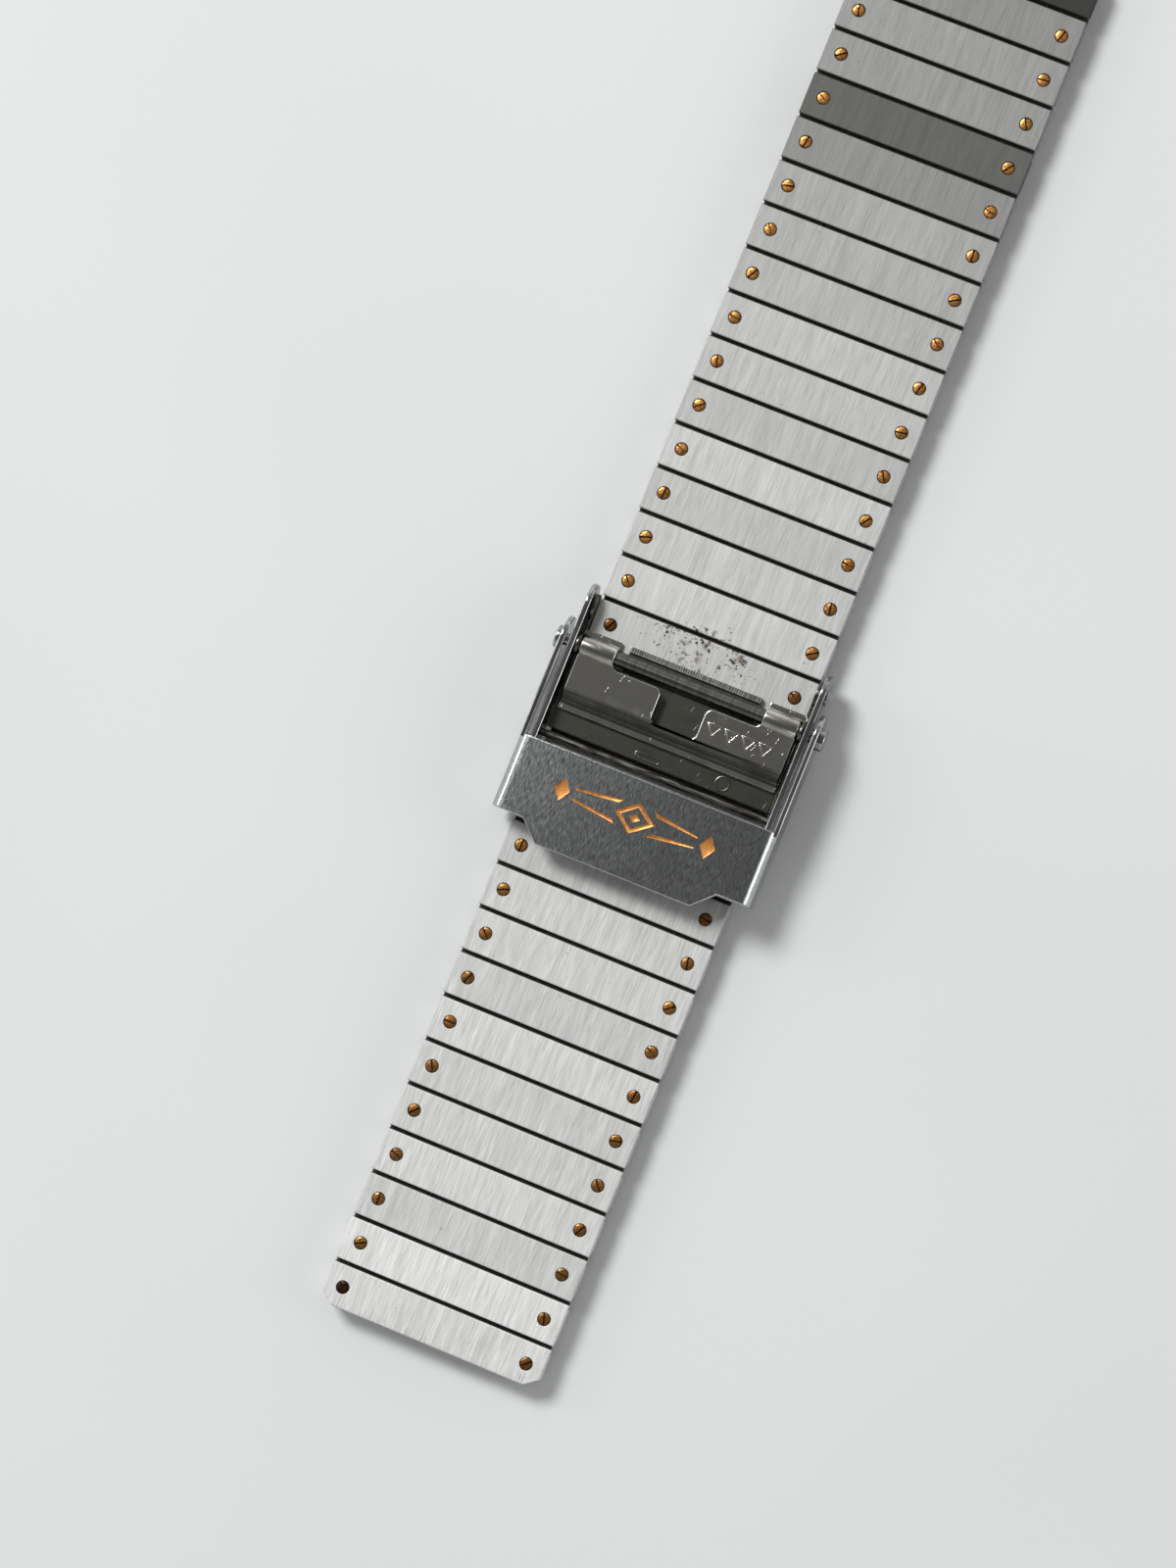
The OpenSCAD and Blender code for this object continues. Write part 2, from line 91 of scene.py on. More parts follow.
def link_y(number):
    """Where a link's screws stand along the bracelet."""
    return CLASP_Y + (number - LAST_CORE_LINK) * PITCH


def link_body(number):
    """The CAD body that a link rides on."""
    held = FIRST_CORE_LINK <= number <= LAST_CORE_LINK
    return "band_core" if held else f"segment_{number:02d}"


def length(name, text, millimetres):
    """A size that a user can set."""
    return bpy.props.FloatProperty(
        name=name,
        description=text,
        default=millimetres * MM,
        min=0,
        precision=5,
        subtype="DISTANCE",
        unit="LENGTH",
    )


def colour(name, text, hex_colour):
    """A colour that a user can set."""
    return bpy.props.FloatVectorProperty(
        name=name, description=text, default=linear(hex_colour), size=3, min=0, max=1, subtype="COLOR"
    )


class ClaspSizes(bpy.types.PropertyGroup):
    """Sizes of what the finished pieces add to the CAD shapes."""

    plate_round: length("Plate edge", "Rounding of a link plate's edges", 0.035)
    ear_reach: length("Ear reach", "From a link's middle to the outer side of its ears", 8.95)
    sheet_round: length("Sheet edge", "Rounding of the clasp's cut sheet edges", 0.08)
    lever_round: length("Lever edge", "Rounding of the lever's cut edges", 0.135)
    comb_pitch: length("Comb pitch", "Distance between the serrations of the clamp leaf", 0.2)
    comb_depth: length("Comb depth", "Depth of the serrations", 0.085)
    cover_sheet: length("Cover sheet", "Thickness of the cover's sheet", 0.45)
    cover_front: length("Cover front", "From the clasp's front screws back to the cover's front edge", 10.15)
    cover_rear: length("Cover rear", "From the clasp's front screws back to the cover's rear corners", 16.17)
    fold_radius: length("Fold", "Outer radius of the cover's folded sides", 0.85)
    tongue_root: length("Tongue root", "Width of the cover's tongue where it starts", 16)
    tongue_end: length("Tongue end", "Width of the cover's tongue at its end", 12.74)
    outer_arm: length("Outer arm", "Height of the cover's arms", 3.7)
    rim_round: length("Cover rim", "Rounding of the cover's rim", 0.13)
    arm_round: length("Arm edge", "Rounding along the arms' edges", 0.12)
    rivet_round: length("Rivet edge", "Rounding of the cover rivets' heads", 0.16)
    screw_radius: length("Screw head", "Radius of the link screws' heads", 0.515)
    screw_head: length("Screw head height", "Thickness of the link screws' heads", 0.4)
    screw_sunk: length("Screw depth", "Depth of a screw's head below its plate", 0.06)
    screw_shank: length("Screw shank", "Length of a screw below its head", 0.75)
    slot_width: length("Slot width", "Width of a screw's slot", 0.13)
    slot_depth: length("Slot depth", "Depth of a screw's slot", 0.18)
    lever_sheet: length("Lever sheet", "Thickness of the lever's sheet", 0.3)
    lever_rise: length("Lever height", "Height of the lever's flat above the bracelet", 1.5)
    lip_rise: length("Lip height", "Height of the lever's rear lip above the bracelet", 0.9)
    lever_bend: length("Lever bend", "Length of each bend in the lever's sheet", 0.24)
    window_width: length("Window width", "Width of the window over the hook bar", 12.25)
    stem_width: length("Stem width", "Width of the window's stem", 3.7)
    window_corner: length("Window corner", "Radius of the window's corners", 0.58)
    mark_height: length("Mark height", "Height of the stamped marks above their sheet", 0.05)


class ClaspColours(bpy.types.PropertyGroup):
    """Colours of the clasp's and the bracelet's finishes."""

    # The links' colours run between these two, and the darker ones carry painted shade
    bright_link: colour("Bright link", "The lightest brushed links", "F8F9F7")
    dark_link: colour("Dark link", "The darkest brushed links", "343330")
    cover_steel: colour("Cover", "Brushed steel of the cover", "CACDCC")
    lever_steel: colour("Lever", "Pressed steel of the lever", "D5D3CA")
    bridge_steel: colour("Bridge", "Pressed steel of the plate under the lever", "6C6B64")
    bright_steel: colour("Bright steel", "Polished arms and rivets", "C4C5C5")
    bar_steel: colour("Bar steel", "Turned bars, dulled by dirt", "73726E")
    spring_steel: colour("Spring steel", "The leaf springs", "A4A49F")
    # Also used for painted shade in the grooves, the screw holes and on the leaf under the lever
    grime_and_shade: colour("Grime", "Dried dirt in the grooves", "34312D")
    rust: colour("Rust", "Brown stains on a link", "6E5A49")
    # Also used for painted shade in the screws' slots and round their heads
    pit_and_shade: colour("Pit", "Corrosion pits in a link", "2C241F")
    screw_gold: colour("Screw gold", "Gold-coloured link screws", "F2B666")
    screw_brown: colour("Screw brown", "Dulled patches of the link screws", "90562C")
    screw_dark: colour("Screw dark", "Link screws that have lost their colour", "36261A")
    filling_gold: colour("Gold filling", "Gold-coloured filling of the engraving", "D8924C")
    filling_shade: colour("Filling shade", "Dark parts of the gold filling", "A9662B")
    floor: colour("Floor", "The pale floor", "D3D5D4")
    backdrop: colour("Backdrop", "What stands behind the floor", "E6E8E7")


# Working on meshes


def object_mode():
    bpy.ops.object.mode_set(mode="OBJECT")


def only(piece):
    """Closes edit mode and makes a piece the only selected and the active object."""
    if bpy.context.mode != "OBJECT":
        object_mode()
    bpy.ops.object.select_all(action="DESELECT")
    piece.select_set(True)
    bpy.context.view_layer.objects.active = piece


def edit(piece, kind="VERT", action="SELECT"):
    """Opens edit mode with all of a piece selected, or none of it."""
    only(piece)
    bpy.ops.object.mode_set(mode="EDIT")
    bpy.ops.mesh.select_mode(type=kind)
    bpy.ops.mesh.select_all(action=action)


def choose(piece, kind, test):
    """Selects the vertices, edges or faces whose place and direction pass a test, and opens edit mode."""
    edit(piece, kind, "DESELECT")
    object_mode()
    mesh = piece.data
    points = mesh.vertices
    if kind == "VERT":
        parts = points
        for point in points:
            point.select = test(point.co)
    elif kind == "EDGE":
        parts = mesh.edges
        for edge in mesh.edges:
            a, b = (points[i].co for i in edge.vertices)
            edge.select = test((a + b) / 2, b - a)
    else:
        parts = mesh.polygons
        for face in mesh.polygons:
            face.select = test(face.center, face.normal)
    if not any(part.select for part in parts):
        raise RuntimeError(f"Nothing of {piece.name} passes the test")
    bpy.ops.object.mode_set(mode="EDIT")


def round_edges(piece, width, segments=2, sharp=35, test=None):
    """Rounds the sharp edges that pass a test on their place, or all of them."""
    edit(piece, "EDGE", "DESELECT")
    bpy.ops.mesh.edges_select_sharp(sharpness=math.radians(sharp))
    if test:
        object_mode()
        mesh = piece.data
        points = mesh.vertices
        wanted = [edge for edge in mesh.edges if edge.select]
        for part in (*points, *mesh.edges, *mesh.polygons):
            part.select = False
        for edge in wanted:
            a, b = (points[i].co for i in edge.vertices)
            edge.select = test((a + b) / 2)
        bpy.ops.object.mode_set(mode="EDIT")
    bpy.ops.mesh.bevel(offset=width, segments=segments)
    object_mode()


def extrude(x, y, z):
    """Extrudes what is selected, in edit mode."""
    bpy.ops.mesh.extrude_region_move(TRANSFORM_OT_translate={"value": (x, y, z)})


def slice_at(piece, axis, *values):
    """Cuts new edges into a piece where it crosses these values on an axis."""
    edit(piece)
    direction = Vector((axis == "X", axis == "Y", axis == "Z"))
    for value in values:
        bpy.ops.mesh.select_all(action="SELECT")
        bpy.ops.mesh.bisect(plane_co=direction * value, plane_no=direction)
    object_mode()


def tidy_normals(piece):
    """Merges doubles and turns every face outwards."""
    edit(piece)
    bpy.ops.mesh.remove_doubles(threshold=SAME_PLACE)
    bpy.ops.mesh.normals_make_consistent(inside=False)
    object_mode()


def copy_node(node, name, whole=True):
    """A new piece with a CAD node's shape, its loose triangles merged into whole flat faces if asked."""
    piece = bpy.data.objects.new(name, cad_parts[node].data.copy())
    bpy.context.scene.collection.objects.link(piece)
    piece.data.materials.clear()
    only(piece)
    bpy.ops.mesh.customdata_custom_splitnormals_clear()
    edit(piece)
    bpy.ops.mesh.remove_doubles(threshold=SAME_PLACE)
    if whole:
        bpy.ops.mesh.dissolve_limited(angle_limit=math.radians(0.5))
    object_mode()
    return piece


def place_now(piece, name):
    """Names a new primitive and puts its place into its mesh."""
    piece.name = name
    piece.data.name = name
    only(piece)
    bpy.ops.object.transform_apply(location=True, rotation=True, scale=True)
    return piece


def block(name, centre, size):
    """A new box."""
    bpy.ops.mesh.primitive_cube_add(size=1, location=centre)
    piece = bpy.context.active_object
    piece.scale = size
    return place_now(piece, name)


def thicken(piece, thickness, offset):
    """Turns a surface into a sheet."""
    solid = piece.modifiers.new("Sheet", "SOLIDIFY")
    solid.thickness = thickness
    solid.offset = offset
    solid.use_even_offset = True
    only(piece)
    bpy.ops.object.modifier_apply(modifier="Sheet")
    tidy_normals(piece)


def cut(piece, cutter):
    """Cuts a piece with another mesh, which is used up."""
    modifier = piece.modifiers.new("Cut", "BOOLEAN")
    modifier.object = cutter
    modifier.operation = "DIFFERENCE"
    modifier.solver = "EXACT"
    only(piece)
    bpy.ops.object.modifier_apply(modifier="Cut")
    bpy.data.objects.remove(cutter)


def join(pieces, name):
    """Joins pieces into the first one."""
    only(pieces[0])
    for piece in pieces:
        piece.select_set(True)
    bpy.ops.object.join()
    pieces[0].name = name
    return pieces[0]


def paint_faces(piece, index, test):
    """Gives the faces that pass a test one of the piece's materials."""
    for face in piece.data.polygons:
        if test(face.center, face.normal):
            face.material_index = index


def shade(piece, angle):
    """Smooths what is round, and keeps the flats flat up to their rounded edges."""
    only(piece)
    bpy.ops.object.shade_smooth_by_angle(angle=math.radians(angle))
    modifier = piece.modifiers.new("Flats", "WEIGHTED_NORMAL")
    modifier.keep_sharp = True
    bpy.ops.object.modifier_apply(modifier="Flats")


def hand_over(piece, body, slot, *nodes, angle=40):
    """Shades a finished piece, lets it ride on its body and stand for its CAD nodes."""
    shade(piece, angle)
    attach(piece, body)
    if nodes:
        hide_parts(*nodes)


def finish_copy(node, name, finish, body, slot, width, segments=2, sharp=35, test=None):
    """Makes a finished piece from a CAD node by rounding its edges."""
    piece = copy_node(node, name)
    round_edges(piece, width, segments, sharp, test)
    dress(piece, finish)
    hand_over(piece, body, slot, node)


def write_value(piece, name, value):
    """Writes one number on all of a piece's vertices, for its material to read."""
    layer = piece.data.attributes.new(name, "FLOAT", "POINT")
    layer.data.foreach_set("value", [value] * len(piece.data.vertices))


# Materials


class Nodes:
    """Adds nodes to one node tree."""

    def __init__(self, tree):
        self.tree = tree

    def add(self, kind, *values, out=None, **named):
        """Adds a node: its inputs in order, its settings and further inputs by name, all plain or linked."""
        node = self.tree.nodes.new("ShaderNode" + kind)
        further = []
        for name, value in named.items():
            if name in node.bl_rna.properties:
                setattr(node, name, value)
            else:
                further.append((node.inputs[name], value))
        in_order = zip([socket for socket in node.inputs if socket.enabled], values)
        for socket, value in (*in_order, *further):
            if isinstance(value, bpy.types.NodeSocket):
                self.tree.links.new(value, socket)
            else:
                socket.default_value = (*value, 1) if socket.type == "RGBA" else value
        return node.outputs[out] if out else next(socket for socket in node.outputs if socket.enabled)

    def plus(self, *masks):
        """Adds masks and clamps the sum."""
        total = masks[0]
        for mask in masks[1:]:
            total = self.add("Math", total, mask, operation="ADD", use_clamp=True)
        return total


class Finish(Nodes):
    """A new material: its node tree, its shader and Object coordinates."""

    def __init__(self, name, base, metallic, roughness):
        self.material = bpy.data.materials.new(name)
        self.material.use_nodes = True
        self.material.diffuse_color = (*base, 1)
        super().__init__(self.material.node_tree)
        self.inputs = self.tree.nodes["Principled BSDF"].inputs
        self.inputs["Base Color"].default_value = (*base, 1)
        self.inputs["Metallic"].default_value = metallic
        self.inputs["Roughness"].default_value = roughness
        self.place = self.add("TexCoord", out="Object")

    def feed(self, name, socket):
        """Links a socket to an input of the shader."""
        self.tree.links.new(socket, self.inputs[name])

    def streaks(self, width, reach, turn=0.0, shift=0.0, detail=2.0, across=None, place=None):
        """A noise with marks this wide along X and this long along Y in metres, or turned about Z."""
        size = (width, reach, across or width)
        moved = {"Location": (shift, shift, shift), "Rotation": (0, 0, turn), "Scale": size}
        mapped = self.add("Mapping", place or self.place, vector_type="TEXTURE", **moved)
        return self.add("TexNoise", mapped, Scale=1.0, Detail=detail)

    def spots(self, size, shift=0.0, detail=3.0):
        """A noise of round marks about this size in metres."""
        return self.streaks(size, size, shift=shift, detail=detail)

    def scratches(self, turn, shift, rarity):
        """A mask of thin straight scratches, 0.06 mm wide and 1.6 mm long so that they show, all one way."""
        lines = self.streaks(0.06 * MM, 1.6 * MM, math.radians(turn), shift, 1.0)
        return self.add("MapRange", lines, rarity, rarity + 0.05)


def darker(base, share):
    """A colour with this share of its light."""
    return tuple(c * share for c in base)


def brushed_stainless_plate(name, colours):
    # Stainless steel, brushed along the bracelet: satin grey lines, each link a little lighter or darker, and
    # painted shade that darkens the links towards the watch end.
    # Wear and a dry film scatter half of the light as a matt surface does, so the plates never flash white.
    # Round the clasp's front the plates have corroded: brown stains with small black pits.
    m = Finish(name, colours.bright_link, 0.5, 0.57)
    tone = m.add("Attribute", attribute_name="link_tone_and_shade", out="Fac")
    shift = m.add("Attribute", attribute_name="link_shift", out="Fac")
    moved = m.add("VectorMath", m.place, shift, operation="ADD")
    # The brush lines are drawn 0.05 mm wide, coarser than real ones, so that they show
    fine = m.streaks(0.05 * MM, 1.6 * MM, detail=3.0, place=moved)
    broad = m.streaks(0.5 * MM, 9 * MM, shift=0.3, place=moved)
    plain = m.add("Mix", tone, colours.dark_link, colours.bright_link, data_type="RGBA")
    lines = m.plus(m.add("MapRange", fine, 0.25, 0.75, 0, 0.7), m.add("MapRange", broad, 0.25, 0.75, 0, 0.3))
    lined = m.add("Mix", lines, linear("BCBCBC"), linear("FFFFFF"), data_type="RGBA")
    brushed = m.add("Mix", 1.0, plain, lined, data_type="RGBA", blend_type="MULTIPLY")
    # Dark rub marks, 0.12 mm wide, run 1.3 mm up from the tail link's free end
    along = m.add("SeparateXYZ", m.place, out="Y")
    tail_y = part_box("link_00")[0].y
    near_tail = m.add("MapRange", along, tail_y, tail_y + 1.3 * MM, 0.14, 0)
    rubs = m.add("Math", m.streaks(0.12 * MM, 1.2 * MM, shift=0.19), near_tail, operation="ADD")
    rubbed = m.add("MapRange", rubs, 0.66, 0.86, 0, 0.45)
    brushed = m.add("Mix", rubbed, brushed, colours.dark_link, data_type="RGBA")
    # The corroded area reaches 6 mm to each side and 2.2 mm along the bracelet
    middle_of_rust = (-0.3 * MM, CLASP_Y + 0.9 * MM, TOP_Z)
    size_of_rust = (6.5 * MM, 2.4 * MM, 6.5 * MM)
    centre = m.add("Mapping", m.place, middle_of_rust, (0, 0, 0), size_of_rust, vector_type="TEXTURE")
    away = m.add("VectorMath", centre, operation="LENGTH")
    near = m.add("MapRange", away, 0.4, 1.1, 0.24, 0)
    clumps = m.add("MapRange", m.spots(1.6 * MM, 0.13, 1.0), 0.35, 0.65, 0.55, 1.15)
    reach = m.add("Math", near, clumps, operation="MULTIPLY")
    stained = m.add("Math", m.spots(0.6 * MM, 0.11), reach, operation="ADD")
    stain = m.add("MapRange", stained, 0.72, 0.88, 0, 0.8)
    pitted = m.add("Math", m.spots(0.24 * MM, 0.17), reach, operation="ADD")
    pits = m.add("MapRange", pitted, 0.76, 0.86)
    rusty = m.add("Mix", stain, brushed, colours.rust, data_type="RGBA")
    m.feed("Base Color", m.add("Mix", pits, rusty, colours.pit_and_shade, data_type="RGBA"))
    worn = m.add("MapRange", m.plus(stain, pits), 0, 1, 0, 0.35)
    m.feed("Roughness", m.plus(m.add("MapRange", fine, 0.3, 0.7, 0.52, 0.62), worn))
    height = m.add("Math", fine, pits, operation="SUBTRACT")
    m.feed("Normal", m.add("Bump", Distance=0.003 * MM, Height=height))
    return m.material


def groove_grime_and_shade(name, colours):
    # Dried dirt and polish on the steel between the links, and painted shade for the dark of the grooves, the
    # screw holes and other recesses: nearly black, matt, lighter where it is rubbed.
    m = Finish(name, colours.grime_and_shade, 0.0, 0.8)
    rubbed = m.add("MapRange", m.spots(0.3 * MM), 0.45, 0.75, 0, 0.35)
    m.feed("Base Color", m.add("Mix", rubbed, colours.grime_and_shade, linear("6A6761"), data_type="RGBA"))
    return m.material


def dull_pin_steel(name, colours):
    # Drawn steel wire, mostly dark with dirt, with ragged rubbed streaks along its length, which is along X.
    m = Finish(name, colours.bar_steel, 1.0, 0.5)
    dirt = m.add("MapRange", m.streaks(1.5 * MM, 0.12 * MM, shift=0.27, across=0.2 * MM), 0.42, 0.56)
    m.feed("Base Color", m.add("Mix", dirt, colours.bar_steel, colours.grime_and_shade, data_type="RGBA"))
    return m.material


def scratched_cover_steel(name, colours):
    # Stainless sheet, finely brushed along the bracelet, worn smooth and crossed by many short scratches.
    m = Finish(name, colours.cover_steel, 1.0, 0.28)
    # Its brush lines, too, are drawn coarser than real ones, so that they show
    fine = m.streaks(0.06 * MM, 0.5 * MM, detail=3.0)
    clouds = m.spots(3.2 * MM, 0.21, 2.0)
    marks = m.plus(m.scratches(18, 0.4, 0.74), m.scratches(-55, 0.5, 0.76))
    dark = darker(colours.cover_steel, 0.6)
    lined = m.add("Mix", m.add("MapRange", fine, 0.35, 0.65), dark, colours.cover_steel, data_type="RGBA")
    clouded = m.add("Mix", m.add("MapRange", clouds, 0.35, 0.65, 0, 0.4), lined, dark, data_type="RGBA")
    faint = m.add("MapRange", marks, 0, 1, 0, 0.12)
    m.feed("Base Color", m.add("Mix", faint, clouded, colours.bright_steel, data_type="RGBA"))
    m.feed("Roughness", m.add("MapRange", fine, 0.3, 0.7, 0.16, 0.26))
    height = m.add("Math", fine, m.add("MapRange", marks, 0, 1, 0, 0.25), operation="SUBTRACT")
    worn = m.add("Bump", Distance=0.003 * MM, Height=height)
    # The sheet is pressed to a faint crown across its width of 21 mm, so that one side catches more light
    across = m.add("SeparateXYZ", m.place, out="X")
    squared = m.add("Math", across, across, operation="MULTIPLY")
    crown = m.add("MapRange", squared, 0, (10.6 * MM) ** 2, 1, 0)
    m.feed("Normal", m.add("Bump", Distance=0.42 * MM, Height=crown, Normal=worn))
    return m.material


def pressed_steel(name, colours, base, smooth):
    # Pressed and polished sheet: mirror grey with wiped smears, small dents and a few scratches.
    m = Finish(name, base, 1.0, smooth)
    smears = m.spots(2.2 * MM, 0.31, 3.0)
    marks = m.plus(m.scratches(52, 0.7, 0.75), m.scratches(-18, 0.8, 0.75))
    dark = darker(base, 0.6)
    smeared = m.add("Mix", m.add("MapRange", smears, 0.38, 0.6), base, dark, data_type="RGBA")
    faint = m.add("MapRange", marks, 0, 1, 0, 0.35)
    m.feed("Base Color", m.add("Mix", faint, smeared, colours.bright_steel, data_type="RGBA"))
    m.feed("Roughness", m.add("MapRange", smears, 0.3, 0.7, smooth, smooth + 0.12))
    dents = m.spots(0.7 * MM, 0.37, 1.0)
    height = m.add("Math", dents, marks, operation="SUBTRACT")
    m.feed("Normal", m.add("Bump", Distance=0.004 * MM, Height=height))
    return m.material


def polished_arm_steel(name, colours):
    # Polished flat bar with faint draw lines along its length: bright, with thin dark and light stripes.
    m = Finish(name, colours.bright_steel, 1.0, 0.14)
    # Real draw lines are finer than 0.06 mm, and wouldn't show
    lines = m.streaks(0.06 * MM, 6 * MM, shift=0.41, across=6 * MM)
    sides = m.streaks(6 * MM, 6 * MM, shift=0.43, across=0.2 * MM)
    dark = darker(colours.bright_steel, 0.35)
    dulled = m.plus(m.add("MapRange", lines, 0.42, 0.66), m.add("MapRange", sides, 0.42, 0.6, 0, 0.45))
    m.feed("Base Color", m.add("Mix", dulled, colours.bright_steel, dark, data_type="RGBA"))
    m.feed("Roughness", m.add("MapRange", lines, 0.3, 0.7, 0.09, 0.24))
    m.feed("Normal", m.add("Bump", Distance=0.002 * MM, Height=lines))
    return m.material


def turned_bar_steel(name, colours):
    # Turned bar, dulled by dirt: dark grey with fine lighter rings round it, about 0.2 mm apart.
    m = Finish(name, colours.bar_steel, 1.0, 0.28)
    rings = m.streaks(0.05 * MM, 30 * MM, shift=0.53, detail=0.0, across=30 * MM)
    dark = darker(colours.bar_steel, 0.65)
    light = m.add("MapRange", rings, 0.4, 0.6)
    m.feed("Base Color", m.add("Mix", light, dark, colours.bar_steel, data_type="RGBA"))
    m.feed("Normal", m.add("Bump", Distance=0.005 * MM, Height=rings))
    return m.material


def satin_spring_steel(name, colours):
    # Blank-rolled spring steel: even satin grey with faint roll lines.
    m = Finish(name, colours.spring_steel, 1.0, 0.4)
    lines = m.streaks(0.12 * MM, 3 * MM, shift=0.61)
    dark = darker(colours.spring_steel, 0.55)
    light = m.add("MapRange", lines, 0.35, 0.6)
    m.feed("Base Color", m.add("Mix", light, dark, colours.spring_steel, data_type="RGBA"))
    m.feed("Normal", m.add("Bump", Distance=0.003 * MM, Height=lines))
    return m.material


def gold_screw_brass(name, colours):
    # Gold-coloured brass screw: warm and shiny, dulled brown in patches, bare of colour where it is worst.
    m = Finish(name, colours.screw_gold, 1.0, 0.28)
    tone = m.add("Attribute", attribute_name="screw_tone", out="Fac")
    patches = m.add("MapRange", m.spots(0.3 * MM, 0.71), 0.42, 0.6)
    brown = m.add("Mix", patches, colours.screw_gold, colours.screw_brown, data_type="RGBA")
    # Painted shade and dirt: dark in the slot and round the head's rim
    dirt = m.add("Attribute", attribute_name="screw_dirt_and_shade", out="Fac")
    bare = m.add("Mix", tone, colours.screw_dark, brown, data_type="RGBA")
    m.feed("Base Color", m.add("Mix", dirt, bare, colours.pit_and_shade, data_type="RGBA"))
    m.feed("Roughness", m.add("MapRange", m.plus(patches, dirt), 0, 1, 0.2, 0.5))
    m.feed("Normal", m.add("Bump", Distance=0.012 * MM, Height=m.spots(0.12 * MM, 0.77)))
    return m.material


def gold_filling(name, colours):
    # Gold-coloured lacquer in the engraving: warm, half glossy, darker where it is thin.
    m = Finish(name, colours.filling_gold, 0.6, 0.38)
    thin = m.add("MapRange", m.streaks(0.3 * MM, 0.9 * MM, shift=0.81), 0.45, 0.75)
    m.feed("Base Color", m.add("Mix", thin, colours.filling_gold, colours.filling_shade, data_type="RGBA"))
    m.feed("Normal", m.add("Bump", Distance=0.01 * MM, Height=m.spots(0.15 * MM, 0.83)))
    return m.material


def pale_floor(name, colours):
    # Matt pale board: even, with the faintest mottling.
    m = Finish(name, colours.floor, 0.0, 0.9)
    soft = m.add("MapRange", m.spots(40 * MM, 0.9, 1.0), 0.3, 0.7)
    dark = darker(colours.floor, 0.97)
    m.feed("Base Color", m.add("Mix", soft, dark, colours.floor, data_type="RGBA"))
    return m.material


FINISHES = {
    "Brushed Stainless Plate": brushed_stainless_plate,
    "Groove Grime": groove_grime_and_shade,
    "Dull Pin Steel": dull_pin_steel,
    "Scratched Cover Steel": scratched_cover_steel,
    "Pressed Lever Steel": lambda name, colours: pressed_steel(name, colours, colours.lever_steel, 0.12),
    "Pressed Bridge Steel": lambda name, colours: pressed_steel(name, colours, colours.bridge_steel, 0.24),
    "Polished Arm Steel": polished_arm_steel,
    "Turned Bar Steel": turned_bar_steel,
    "Satin Spring Steel": satin_spring_steel,
    "Gold Screw Brass": gold_screw_brass,
    "Gold Filling": gold_filling,
    "Pale Matt Floor": pale_floor,
}


def dress(piece, *names):
    """Gives a piece its finishes, each made the first time that it is asked for."""
    piece.data.materials.clear()
    for name in names:
        made = bpy.data.materials.get(name) or FINISHES[name](name, bpy.context.scene.clasp_colours)
        piece.data.materials.append(made)


# Pieces


class CLASP_OT_stage(bpy.types.Operator):
    """Makes the camera, the pale floor and the soft studio light"""

    bl_idname = "clasp.stage"
    bl_label = "Stage"

    def execute(self, context):
        scene = context.scene
        colours = scene.clasp_colours
        # Fitted to the link screws: nearly overhead, leaning 6 degrees, the watch end turned to the right
        camera_data = bpy.data.cameras.new("Camera")
        camera_data.sensor_width = 36
        camera_data.lens = 117
        camera_data.clip_start = 0.01
        camera = bpy.data.objects.new("Camera", camera_data)
        scene.collection.objects.link(camera)
        camera.location = (44.88 * MM, -22.18 * MM, 388.79 * MM)
        camera.rotation_euler = tuple(math.radians(a) for a in (3.842, 6.322, 22.143))
        scene.camera = camera
        scene.view_settings.view_transform = "Standard"

        bpy.ops.mesh.primitive_plane_add(size=3, location=(0, 0, 0))
        floor = place_now(context.active_object, "floor")
        dress(floor, "Pale Matt Floor")

        world = bpy.data.worlds.new("Soft Studio")
        scene.world = world
        world.use_nodes = True
        nodes = Nodes(world.node_tree)
        room_side = nodes.add("TexCoord", out="Generated")
        # Bright walls a little above the horizon, and a dim ceiling for the polished flats to show
        sky = nodes.add("ValToRGB", nodes.add("SeparateXYZ", room_side, out="Z"))
        greys = ((0.0, 0.95), (0.3, 0.78), (0.5, 0.5), (0.7, 0.34), (0.86, 0.12))
        stops = sky.node.color_ramp.elements
        while len(stops) < len(greys):
            stops.new(1)
        for stop, (position, grey) in zip(stops, greys):
            stop.position = position
            stop.color = (grey, grey, grey, 1)
        # The room is brighter on the watch end's side, which lights the links' edges that face it
        side = nodes.add("MapRange", nodes.add("SeparateXYZ", room_side, out="Y"), -1, 1, 0.8, 1.1)
        room = nodes.add("VectorMath", sky, side, operation="SCALE")
        seen = nodes.add("LightPath", out="Is Camera Ray")
        shown = nodes.add("Mix", seen, room, colours.backdrop, data_type="RGBA")
        world.node_tree.links.new(shown, world.node_tree.nodes["Background"].inputs["Color"])

        for name, place, size, power in (
            ("Key Light", (-0.5, 0.34, 0.77), 0.3, 8.4),
            ("Side Light", (0.6, 0.1, 0.3), 0.3, 0.7),
            ("Edge Light", (-0.7, 0.04, 0.36), 0.17, 0.55),
            ("End Light", (0.2, -0.6, 0.55), 0.3, 0.3),
        ):
            lamp_data = bpy.data.lights.new(name, "AREA")
            lamp_data.size = size
            lamp_data.energy = power
            lamp = bpy.data.objects.new(name, lamp_data)
            scene.collection.objects.link(lamp)
            lamp.location = place
            lamp.rotation_mode = "QUATERNION"
            lamp.rotation_quaternion = (-Vector(place)).to_track_quat("-Z", "Y")
        return {"FINISHED"}


